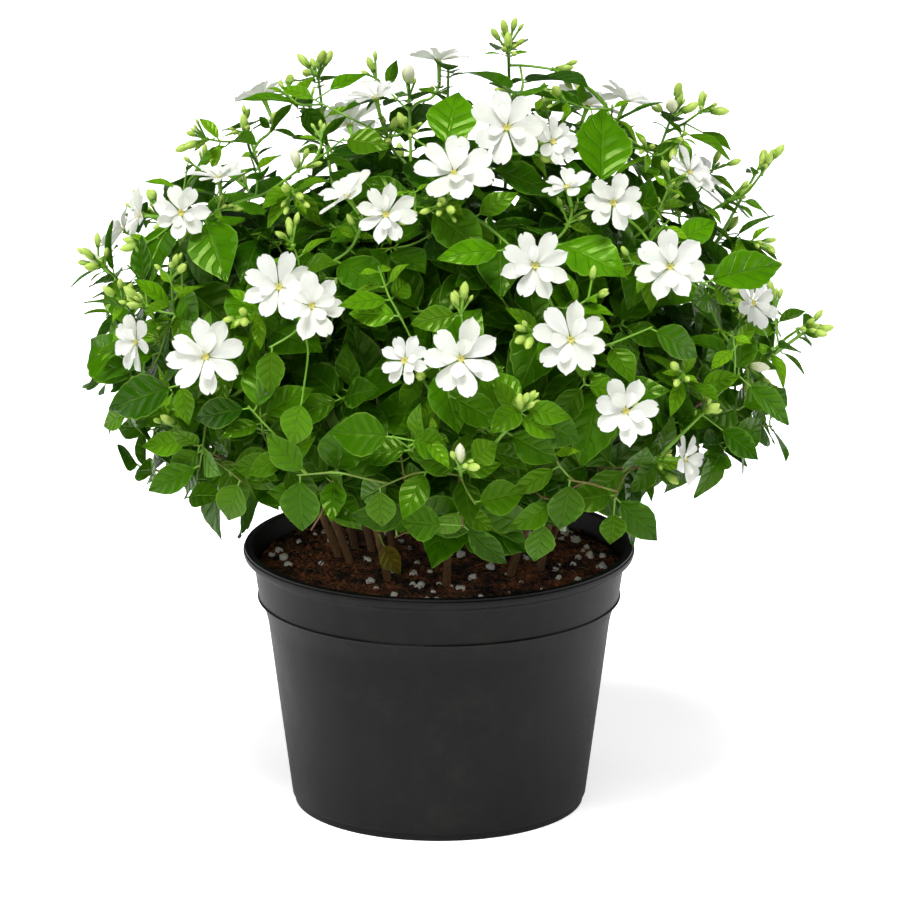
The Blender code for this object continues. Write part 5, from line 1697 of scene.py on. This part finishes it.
def add_bud_parts(sprig, bud):
    """A stalk, a bud and the thin teeth round its foot. The largest buds are cream, the small ones green."""
    way, length = bud.way, bud.length
    neck, turn = bud.foot + way * bud.stalk, dict(way=way, face=across(way))
    radius = BUD_STALK_RADIUS * (1.0 if length > THICK_STALK_FROM else 0.8)
    sprig.path([bud.foot - way * BUD_SUNK, neck + way * 0.0006], [radius, radius], [1.0, 1.0])
    kind = BUD if length > CREAM_BUD_FROM else SMALL_BUD
    sprig.add(neck, kind=kind, pattern=PATTERN_OF["bud"], size=(length, length, length), **turn)
    size = (length * 0.6, length * 0.5, length * 0.5)
    sprig.add(neck - way * 0.0004, kind=SMALL_BUD, pattern=PATTERN_OF["teeth"], size=size, **turn)


# %% Grow the leafy stems
CALYX_TEETH = (0.0058, 0.0072, 0.0072)


def stem_youth(branch, share):
    """How young the wood is at a share of a branch: a stem ages towards the soil."""
    point, _ = path_at(branch.path, share)
    if branch.kind == "stem":
        return bound((point.z - 0.19) / 0.11)
    low = bound((point.z - 0.16) / 0.1)
    fresh = 0.6 if branch.kind == "leaf" else 1.0
    return low * fresh * (0.35 + 0.65 * min(crown_depth(point), 1.0) ** 2)


def grow_leafy_stem(name):
    sprig = Sprig()
    for branch in branches:
        if branch.owner != name:
            continue
        path, radii, _ = branch_tube(branch)
        last = len(path) - 1
        ages = [stem_youth(branch, k / last) for k in range(last + 1)]
        slim = [FOOT_WOOD + (TIP_WOOD - FOOT_WOOD) * (1.5 if branch.kind == "leaf" else age) for age in ages]
        if branch.kind == "flower":
            slim[-2:] = [0.8, 1.0]
        sprig.path(path, [radius * share for radius, share in zip(radii, slim)], ages)
        if branch.kind == "flower":
            turn = dict(way=branch.way, face=across(branch.way))
            sprig.add(branch.path[-1], kind=SMALL_BUD, pattern=PATTERN_OF["teeth"], size=CALYX_TEETH, **turn)
    for add_parts, grown_parts in ((add_leaf_parts, leaves), (add_bud_parts, buds)):
        for part in grown_parts:
            if part.owner == name:
                add_parts(sprig, part)
    return sprig.grow("leafy_" + name, {"Bend radius": 0.03})


face_count = 0
for stem in stems:
    piece = grow_leafy_stem(stem.owner)
    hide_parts(stem.owner)
    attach(piece, "root")
    face_count += len(piece.data.polygons)
print(len(stems), "leafy stems with", face_count, "faces;", len(large_leaves), "large leaves")

# %% [markdown]
# ## The double blooms
# A bloom has seven or eight broad outer petals that lie over each other like roof tiles, three to five smaller and
# steeper ones inside, a yellow throat, and a pale green tube that stands in the calyx. Each petal is a pattern tilted
# by its ring, turned a little on its own line, and kept inside the rough bloom's reach.

# %% Petals of a bloom
PETAL_ROOT = THROAT_RADIUS * 0.55


def add_petal(sprig, bloom, angle, slope, twist, length, width, pattern, rise, tone):
    facing = bloom.facing
    radial = radial_of(bloom, angle)
    way = radial * cos(slope) + facing * sin(slope)
    face = Quaternion(way, twist) @ (facing * cos(slope) - radial * sin(slope))
    root = bloom.throat + radial * PETAL_ROOT + facing * rise
    pattern, size = PATTERN_OF["petal"] + pattern, (length, width, length)
    sprig.add(root, kind=PETAL, pattern=pattern, way=way, face=face, size=size, tone=tone)


def grow_double_bloom(bloom):
    sprig, draw = Sprig(), random.Random(bloom.seed)
    reach, turn = bloom.size / 2, bloom.turn
    outer, inner = draw.choice((7, 7, 8, 8)), draw.choice((3, 4, 4, 5))
    for k in range(outer):
        slope = radians(draw.uniform(6, 17) + 6 * (k % 2))
        length = (reach * draw.uniform(0.93, 1.06) - PETAL_ROOT) / cos(slope)
        width = reach * draw.uniform(0.51, 0.61) * 7 / outer
        angle = turn + 2 * pi * (k + draw.uniform(-0.14, 0.14)) / outer
        twist = draw.uniform(0.1, 0.24)
        add_petal(sprig, bloom, angle, slope, twist, length, width, draw.randrange(3), 0.0, draw.random())
    for k in range(inner):
        slope = radians(draw.uniform(20, 36))
        length, width = reach * draw.uniform(0.5, 0.72), reach * draw.uniform(0.3, 0.42)
        angle = turn + 2 * pi * (k + 0.5 + draw.uniform(-0.25, 0.25)) / inner
        add_petal(sprig, bloom, angle, slope, draw.uniform(-0.2, 0.2), length, width, 3, 0.0008, draw.random())
    facing, throat = bloom.facing, bloom.throat
    heights = (-TUBE_LENGTH, -TUBE_LENGTH * 0.4, -TUBE_LENGTH * 0.12, -0.0004)
    radii = (TUBE_RADIUS * 0.85, TUBE_RADIUS * 0.95, THROAT_RADIUS * 0.72, THROAT_RADIUS * 0.98)
    sprig.path([throat + facing * height for height in heights], radii, [1.0] * 4)
    cup, turn = THROAT_RADIUS * 0.8, dict(way=facing, face=bloom.east)
    sprig.add(throat + facing * 0.0012, kind=THROAT, pattern=PATTERN_OF["throat"], size=(cup, cup, cup), **turn)
    return sprig.grow("double_" + bloom.name, {"Bend radius": 0.001})


face_count = 0
for bloom in blooms:
    piece = grow_double_bloom(bloom)
    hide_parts(bloom.name)
    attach(piece, "root")
    face_count += len(piece.data.polygons)
print(len(blooms), "blooms with", face_count, "faces")
drop_patterns(patterns)

# %% [markdown]
# ## Finish: black polypropylene
# A nursery pot is moulded from recycled polypropylene, coloured with carbon black. The mould gives it a satin skin
# with a fine grain and faint lengthwise flow lines, and it picks up scuffs and dust. Black plastic looks grey at its
# edges, where it mirrors the white room.

# %% Black polypropylene, moulded
black_polypropylene, add, spot = new_material("polypropylene, black moulded")
# The mould's grain is about 0.2 mm and is drawn at 0.8 mm, so that it shows
grain = add("ShaderNodeTexNoise", spot, 1200.0, 2.0)
drawn = add("ShaderNodeMapping", spot, None, None, (110.0, 110.0, 9.0))
flow = add("ShaderNodeTexNoise", drawn, 1.0, 3.0)
dust = add("ShaderNodeTexNoise", spot, 42.0, 6.0, 0.7)
dust_share = add("ShaderNodeMapRange", dust, 0.45, 0.8, 0.0, 0.35, interpolation_type="SMOOTHSTEP")
black = add("ShaderNodeMix", flow, colour("#090909"), colour("#101010"), data_type="RGBA")
black = add("ShaderNodeMix", dust_share, black, colour("#2a2926"), data_type="RGBA")
worn = add("ShaderNodeMath", dust, grain, operation="ADD")
satin = add("ShaderNodeMapRange", worn, 0.7, 1.3, 0.4, 0.54)
skin_height = add("ShaderNodeMath", flow, 1.5, grain, operation="MULTIPLY_ADD")
looks = {"Base Color": black, "Roughness": satin, "IOR": 1.26}
finish_skin(add, skin_height, looks, strength=0.22, depth=0.0002)
print(black_polypropylene.name, "has", len(black_polypropylene.node_tree.nodes), "nodes")

# %% [markdown]
# ## The nursery pot
# The pot is one turned shape: a foot, a tapered wall, a collar that lets pots stack, and a lip with a fine groove.
# Its corners are rounded a little, as the mould's are, and so catch a line of light. The holes in its floor repeat,
# so Geometry Nodes set posts in a ring and cut them away.

# %% Turn the pot's profile
POT_SIDES = 144
CORNER_STEPS = 4
# Radius, height and corner radius, from under the foot up the outside, over the lip and down the inside
POT_PROFILE = (
    (0.0, 0.0, 0.0), (0.074, 0.0, 0.0008), (0.074, 0.0036, 0.0002), (0.0754, 0.0043, 0.0004),
    (0.0877, 0.0985, 0.006), (0.0906, 0.1074, 0.0012), (0.0914, 0.1086, 0.0002), (0.0929, 0.1088, 0.0001),
    (0.0929, 0.1091, 0.0001), (0.0921, 0.1098, 0.0003),
    (0.0949, 0.1278, 0.001), (0.0974, 0.13, 0.001), (0.0994, 0.1306, 0.0006),
    (0.1, 0.133, 0.0006), (0.0999, 0.1341, 0.0002), (0.0993, 0.1343, 0.0002), (0.0993, 0.1355, 0.0003),
    (0.0957, 0.1355, 0.0006), (0.0931, 0.1253, 0.002), (0.0912, 0.1111, 0.001),
    (0.0863, 0.1037, 0.002), (0.083, 0.094, 0.003), (0.0736, 0.0028, 0.001), (0.0, 0.0028, 0.0),
)


def round_corners(profile):
    """The profile with each corner replaced by a short curve."""
    rows = []
    for k, (radius, height, corner) in enumerate(profile):
        here = Vector((radius, height))
        if corner == 0.0:
            rows.append(here)
            continue
        before, after = Vector(profile[k - 1][:2]), Vector(profile[k + 1][:2])
        reach = min(corner, (before - here).length * 0.45, (after - here).length * 0.45)
        start = here + (before - here).normalized() * reach
        end = here + (after - here).normalized() * reach
        for step in range(CORNER_STEPS + 1):
            t = step / CORNER_STEPS
            rows.append(start * (1 - t) ** 2 + here * (2 * t * (1 - t)) + end * t * t)
    return rows


def turned(rows, sides):
    """Points and faces of a profile turned round Z. A row on the axis closes its end."""
    points, faces, rings = [], [], []
    for radius, height in rows:
        if radius == 0.0:
            rings.append([len(points)] * sides)
            points.append((0.0, 0.0, height))
            continue
        rings.append(range(len(points), len(points) + sides))
        angles = [2 * pi * k / sides for k in range(sides)]
        points += [(radius * cos(a), radius * sin(a), height) for a in angles]
    for low, high in zip(rings, rings[1:]):
        for k in range(sides):
            after = (k + 1) % sides
            faces.append(tuple(dict.fromkeys((low[k], low[after], high[after], high[k]))))
    return points, faces


def new_piece(name, points, faces, material):
    mesh = new_mesh(name, points, [], faces)
    mesh.materials.append(material)
    return new_object(name, mesh)


pot_body = new_piece("pot_body", *turned(round_corners(POT_PROFILE), POT_SIDES), black_polypropylene)
print("the pot's wall has", len(pot_body.data.polygons), "faces")

# %% Cut the drain holes with Geometry Nodes
SHARP_EDGE = radians(40)
drain_sizes = {"Holes": 6, "Hole radius": 0.0065, "Ring radius": 0.046}
drain_tree, add, drain_sockets = new_tree("drain holes", drain_sizes)
given = add("NodeGroupInput").outputs
centres = add("GeometryNodeMeshCircle", given["Holes"], given["Ring radius"])
half_turn = add("GeometryNodeTransform", {0: centres, "Rotation": (0.0, 0.0, pi / 6)})
post = add("GeometryNodeMeshCylinder", {
    "Vertices": 32, "Side Segments": 1, "Radius": given["Hole radius"], "Depth": 0.04,
}, fill_type="NGON")
posts = add("GeometryNodeInstanceOnPoints", half_turn, None, post)
posts = add("GeometryNodeRealizeInstances", posts)
drilled = add("GeometryNodeMeshBoolean", operation="DIFFERENCE", solver="EXACT")
drain_tree.links.new(given["Geometry"], drilled.inputs[0])
drain_tree.links.new(posts.outputs[0], drilled.inputs[1])
whole = add("GeometryNodeRealizeInstances", drilled)
blackened = add("GeometryNodeSetMaterial", whole, None, black_polypropylene)
add("NodeGroupOutput", blackened)
nursery_pot = grow_piece(pot_body, drain_tree, drain_sockets, "nursery_pot", drain_sizes)
edges = bmesh.new()
edges.from_mesh(nursery_pot.data)
for edge in edges.edges:
    edge.smooth = edge.calc_face_angle(0.0) <= SHARP_EDGE
edges.to_mesh(nursery_pot.data)
edges.free()
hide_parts("pot")
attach(nursery_pot, "root")
print("the pot with its holes has", len(nursery_pot.data.polygons), "faces")

# %% [markdown]
# ## Finish: potting mix
# Potting mix is moist peat, nearly black in its gaps and red-brown on its crumbs, with white grains of perlite, a
# puffed volcanic glass, and some pale root fibres. Each of the three has a finish of its own.

# %% Peat, perlite and fibre
def crumbly(name, dark, light, scale, roughness, depth):
    """A rough crumb: two colours mixed by a noise of a given scale that also roughens its surface."""
    material, add, spot = new_material(name)
    crumb = add("ShaderNodeTexNoise", spot, scale, 5.0, 0.65)
    patch = add("ShaderNodeTexNoise", spot, scale * 0.2)
    both = add("ShaderNodeMath", crumb, patch, operation="MULTIPLY")
    share = add("ShaderNodeMapRange", both, 0.18, 0.37)
    tint = add("ShaderNodeMix", share, colour(dark), colour(light), data_type="RGBA")
    finish_skin(add, crumb, {"Base Color": tint, "Roughness": roughness}, strength=0.9, depth=depth)
    return material


# Crumbs of peat are 1 to 4 mm, with smaller ones on them
moist_peat = crumbly("peat, moist and crumbly", "#0e0603", "#a05f36", 420.0, 0.85, 0.0012)
white_perlite = crumbly("perlite, white and pitted", "#efe8dc", "#ffffff", 900.0, 0.8, 0.0004)
root_fibre = crumbly("root fibre, pale brown", "#4a2e16", "#9a6f42", 600.0, 0.7, 0.0003)
print(moist_peat.name, "|", white_perlite.name, "|", root_fibre.name)

# %% [markdown]
# ## The soil and its crumbs
# The soil is one turned shape whose top is pushed up and down by noise. A flat disc with painted soil would look flat
# from the side, so Geometry Nodes strew crumbs, perlite and fibres on it: points are spread over the top's faces with
# a fixed seed, and each gets a rough grain in a size of its own.

# %% Shape the soil
SOIL_SIDES = 96
SOIL_PROFILE = (
    (0.0, 0.0032), (0.0732, 0.0032), (0.0826, 0.0944), (0.0859, 0.1037), (0.0908, 0.1111), (0.0924, 0.1205),
)
TOP_RINGS = 26
TOP_EDGE = 0.0922
# Height of the lumps, and how many go on a metre
SOIL_LUMPS = ((0.0012, 160.0), (0.0009, 380.0), (0.0006, 800.0))


def soil_height(x, y):
    """The soil's top: a low mound with lumps of a few millimetres, lower along the pot's wall."""
    radius = hypot(x, y)
    mound = 0.0022 * cos(min(radius / 0.09, 1.0) * pi / 2)
    lumps = sum(height * noise.noise(Vector((x, y, 0.0)) * scale) for height, scale in SOIL_LUMPS)
    return SOIL_TOP - 0.0016 + mound + lumps - 0.002 * max(radius - 0.086, 0.0) / 0.006


rows = [Vector(row) for row in SOIL_PROFILE]
rows += [Vector((TOP_EDGE * (1.0 - k / TOP_RINGS), SOIL_TOP)) for k in range(TOP_RINGS + 1)]
points, faces = turned(rows, SOIL_SIDES)
points = [(x, y, soil_height(x, y)) if z == SOIL_TOP else (x, y, z) for x, y, z in points]
soil_body = new_piece("soil_body", points, faces, moist_peat)
print("the soil's top lies up to", round(max(p[2] for p in points), 4), "m high")

# %% Grains to strew
grains = bpy.data.collections.new("grains")
SCENE.collection.children.link(grains)


def grain_pattern(name, seed, squash, roughness):
    """A rough grain about one unit across, made from a ball of triangles, finer for perlite."""
    ball = bmesh.new()
    bmesh.ops.create_icosphere(ball, subdivisions=2 if squash == 1.0 else 1, radius=0.5)
    for vert in ball.verts:
        swell = 1.0 + roughness * noise.noise(vert.co * 2.6 + Vector((seed, 0.0, 0.0)))
        vert.co = Vector((vert.co.x * swell, vert.co.y * swell * 0.8, vert.co.z * swell * squash))
    mesh = bpy.data.meshes.new(name)
    ball.to_mesh(mesh)
    ball.free()
    mesh.shade_smooth()
    new_object(name, mesh, grains)


for number in range(4):
    grain_pattern(f"{number} crumb", number * 7.3, 0.7, 1.1)
for number in range(4, 6):
    grain_pattern(f"{number} perlite", number * 5.1, 1.0, 0.45)
# A fibre is a thin bent rod of three pieces
FIBRE_BENDS = ((0.0, -0.5, 0.0), (0.09, -0.15, 0.1), (-0.05, 0.2, 0.12), (0.06, 0.5, -0.05))
points, faces = tube([Vector(bend) for bend in FIBRE_BENDS], (0.02, 0.03, 0.026, 0.012), 4)
new_object("6 fibre", new_mesh("6 fibre", points, [], faces), grains)

# %% Strew them with Geometry Nodes
CRUMBS_WITHIN, GRAINS_WITHIN = 0.09, 0.0865
strew_tree, add, strew_sockets = new_tree("strewn soil", {
    "Crumbs per square metre": 70000.0, "Crumb size": 0.0042,
    "Perlite per square metre": 4200.0, "Perlite size": 0.0068,
    "Fibres per square metre": 9000.0, "Fibre length": 0.012, "Seed": 4,
})
given = add("NodeGroupInput").outputs
normal = add("GeometryNodeInputNormal")
place = add("GeometryNodeInputPosition")
flat = add("ShaderNodeVectorMath", place, (1.0, 1.0, 0.0), operation="MULTIPLY")
radius = add("ShaderNodeVectorMath", flat, operation="LENGTH")
up, high = (add("ShaderNodeSeparateXYZ", vector).outputs[2] for vector in (normal, place))
# The top is what looks up and lies high. All keep off the wall, perlite and fibres further than the crumbs
looks_up, lies_high, wide, inner = (
    add("FunctionNodeCompare", value, limit, data_type="FLOAT", operation=operation)
    for value, limit, operation in (
        (up, 0.4, "GREATER_THAN"), (high, 0.12, "GREATER_THAN"),
        (radius, CRUMBS_WITHIN, "LESS_THAN"), (radius, GRAINS_WITHIN, "LESS_THAN"),
    )
)
top = add("FunctionNodeBooleanMath", looks_up, lies_high, operation="AND")
wide, inner = (add("FunctionNodeBooleanMath", top, near, operation="AND") for near in (wide, inner))
grain_list = add("GeometryNodeCollectionInfo", grains, True, True)
joined = add("GeometryNodeJoinGeometry", given["Geometry"])
for row, (count, size, where, least, first, last, material) in enumerate((
    ("Crumbs per square metre", "Crumb size", wide, 0.25, 0, 3, moist_peat),
    ("Perlite per square metre", "Perlite size", inner, 0.25, 4, 5, white_perlite),
    ("Fibres per square metre", "Fibre length", inner, 0.45, 6, 6, root_fibre),
)):
    seed = add("ShaderNodeMath", given["Seed"], float(row * 10), operation="ADD")
    spread = add("GeometryNodeDistributePointsOnFaces", given["Geometry"], where, given[count], seed)
    turn = add("FunctionNodeRandomValue", (-0.6, -0.6, 0.0), (0.6, 0.6, 6.28), None, seed, data_type="FLOAT_VECTOR")
    kind = add("FunctionNodeRandomValue", first, last, None, seed, data_type="INT")
    share = add("FunctionNodeRandomValue", least, 1.0, None, seed, data_type="FLOAT")
    scale = add("ShaderNodeMath", share, given[size], operation="MULTIPLY")
    strewn = add("GeometryNodeInstanceOnPoints", spread, None, grain_list, True, kind, turn, scale)
    solid = add("GeometryNodeRealizeInstances", strewn)
    finished = add("GeometryNodeSetMaterial", solid, None, material)
    strew_tree.links.new(finished.outputs[0], joined.inputs[0])
add("NodeGroupOutput", joined)
potting_soil = grow_piece(soil_body, strew_tree, strew_sockets, "potting_soil", {"Seed": 4})
drop_patterns(grains)
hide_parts("soil")
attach(potting_soil, "root")
print("the soil has", len(potting_soil.data.polygons), "faces and", [m.name for m in potting_soil.data.materials])

# %% [markdown]
# ## Floor, light and surroundings
# The picture is a plain product shot: a white floor that runs into a white background, and large soft lights. The
# camera sees pure white behind the plant, which is lit by a weaker white from all round, a large soft light from
# above and in front, and two soft lights at the sides whose reflections grey the pot's edges.

# %% Stage and lights
floor_paper, add, spot = new_material("studio paper, white matt")
fibres = add("ShaderNodeTexNoise", spot, 400.0)
paper = add("ShaderNodeMix", fibres, colour("#fdfdfd"), colour("#fafafa"), data_type="RGBA")
# The paper glows a little for the camera alone, so that the shadow stays as faint as in the picture
rays = add("ShaderNodeLightPath")
glow = add("ShaderNodeMapRange", rays.outputs["Is Camera Ray"], None, None, 0.2, 0.72)
skin = add("ShaderNodeBsdfPrincipled", {
    "Base Color": paper, "Roughness": 0.9, "Emission Color": paper, "Emission Strength": glow,
})
add("ShaderNodeOutputMaterial", skin)

corners = [(-6, -6, 0), (6, -6, 0), (6, 6, 0), (-6, 6, 0)]
studio_floor = new_piece("studio_floor", corners, [(0, 1, 2, 3)], floor_paper)

world = bpy.data.worlds.new("white surroundings")
world.use_nodes = True
world.node_tree.nodes.clear()
add = partial(add_node, world.node_tree)
rays = add("ShaderNodeLightPath")
glare = add("ShaderNodeMapRange", rays.outputs["Is Camera Ray"], None, None, 0.08, 1.0)
sky = add("ShaderNodeBackground", {"Color": (1, 1, 1, 1), "Strength": glare})
add("ShaderNodeOutputWorld", sky)
SCENE.world = world
SCENE.view_settings.view_transform = "Standard"


SIDE_LIGHT_SIZE, SIDE_LIGHT_POWER = 1.2, 9.0
for name, place in (("left light", (-1.9, 0.3, 0.5)), ("right light", (1.9, 0.3, 0.5))):
    light = bpy.data.lights.new(name, "AREA")
    light.shape, light.size, light.energy = "SQUARE", SIDE_LIGHT_SIZE, SIDE_LIGHT_POWER
    lamp = new_object(name, light)
    lamp.location, lamp.rotation_euler = place, facing_turn(CROWN_CENTRE - Vector(place))
for name, power, spread, way in (
    # Very large lights far off are, to the plant, light of one strength from a wide patch of sky
    ("high soft light", 4.2, 26.0, (0.12, 0.4, -1.0)),
    ("front soft light", 0.9, 40.0, (0.25, 1.0, -0.4)),
):
    sun = bpy.data.lights.new(name, "SUN")
    sun.energy, sun.angle = power, radians(spread)
    new_object(name, sun).rotation_euler = facing_turn(Vector(way))
print("four soft lights and a white floor")
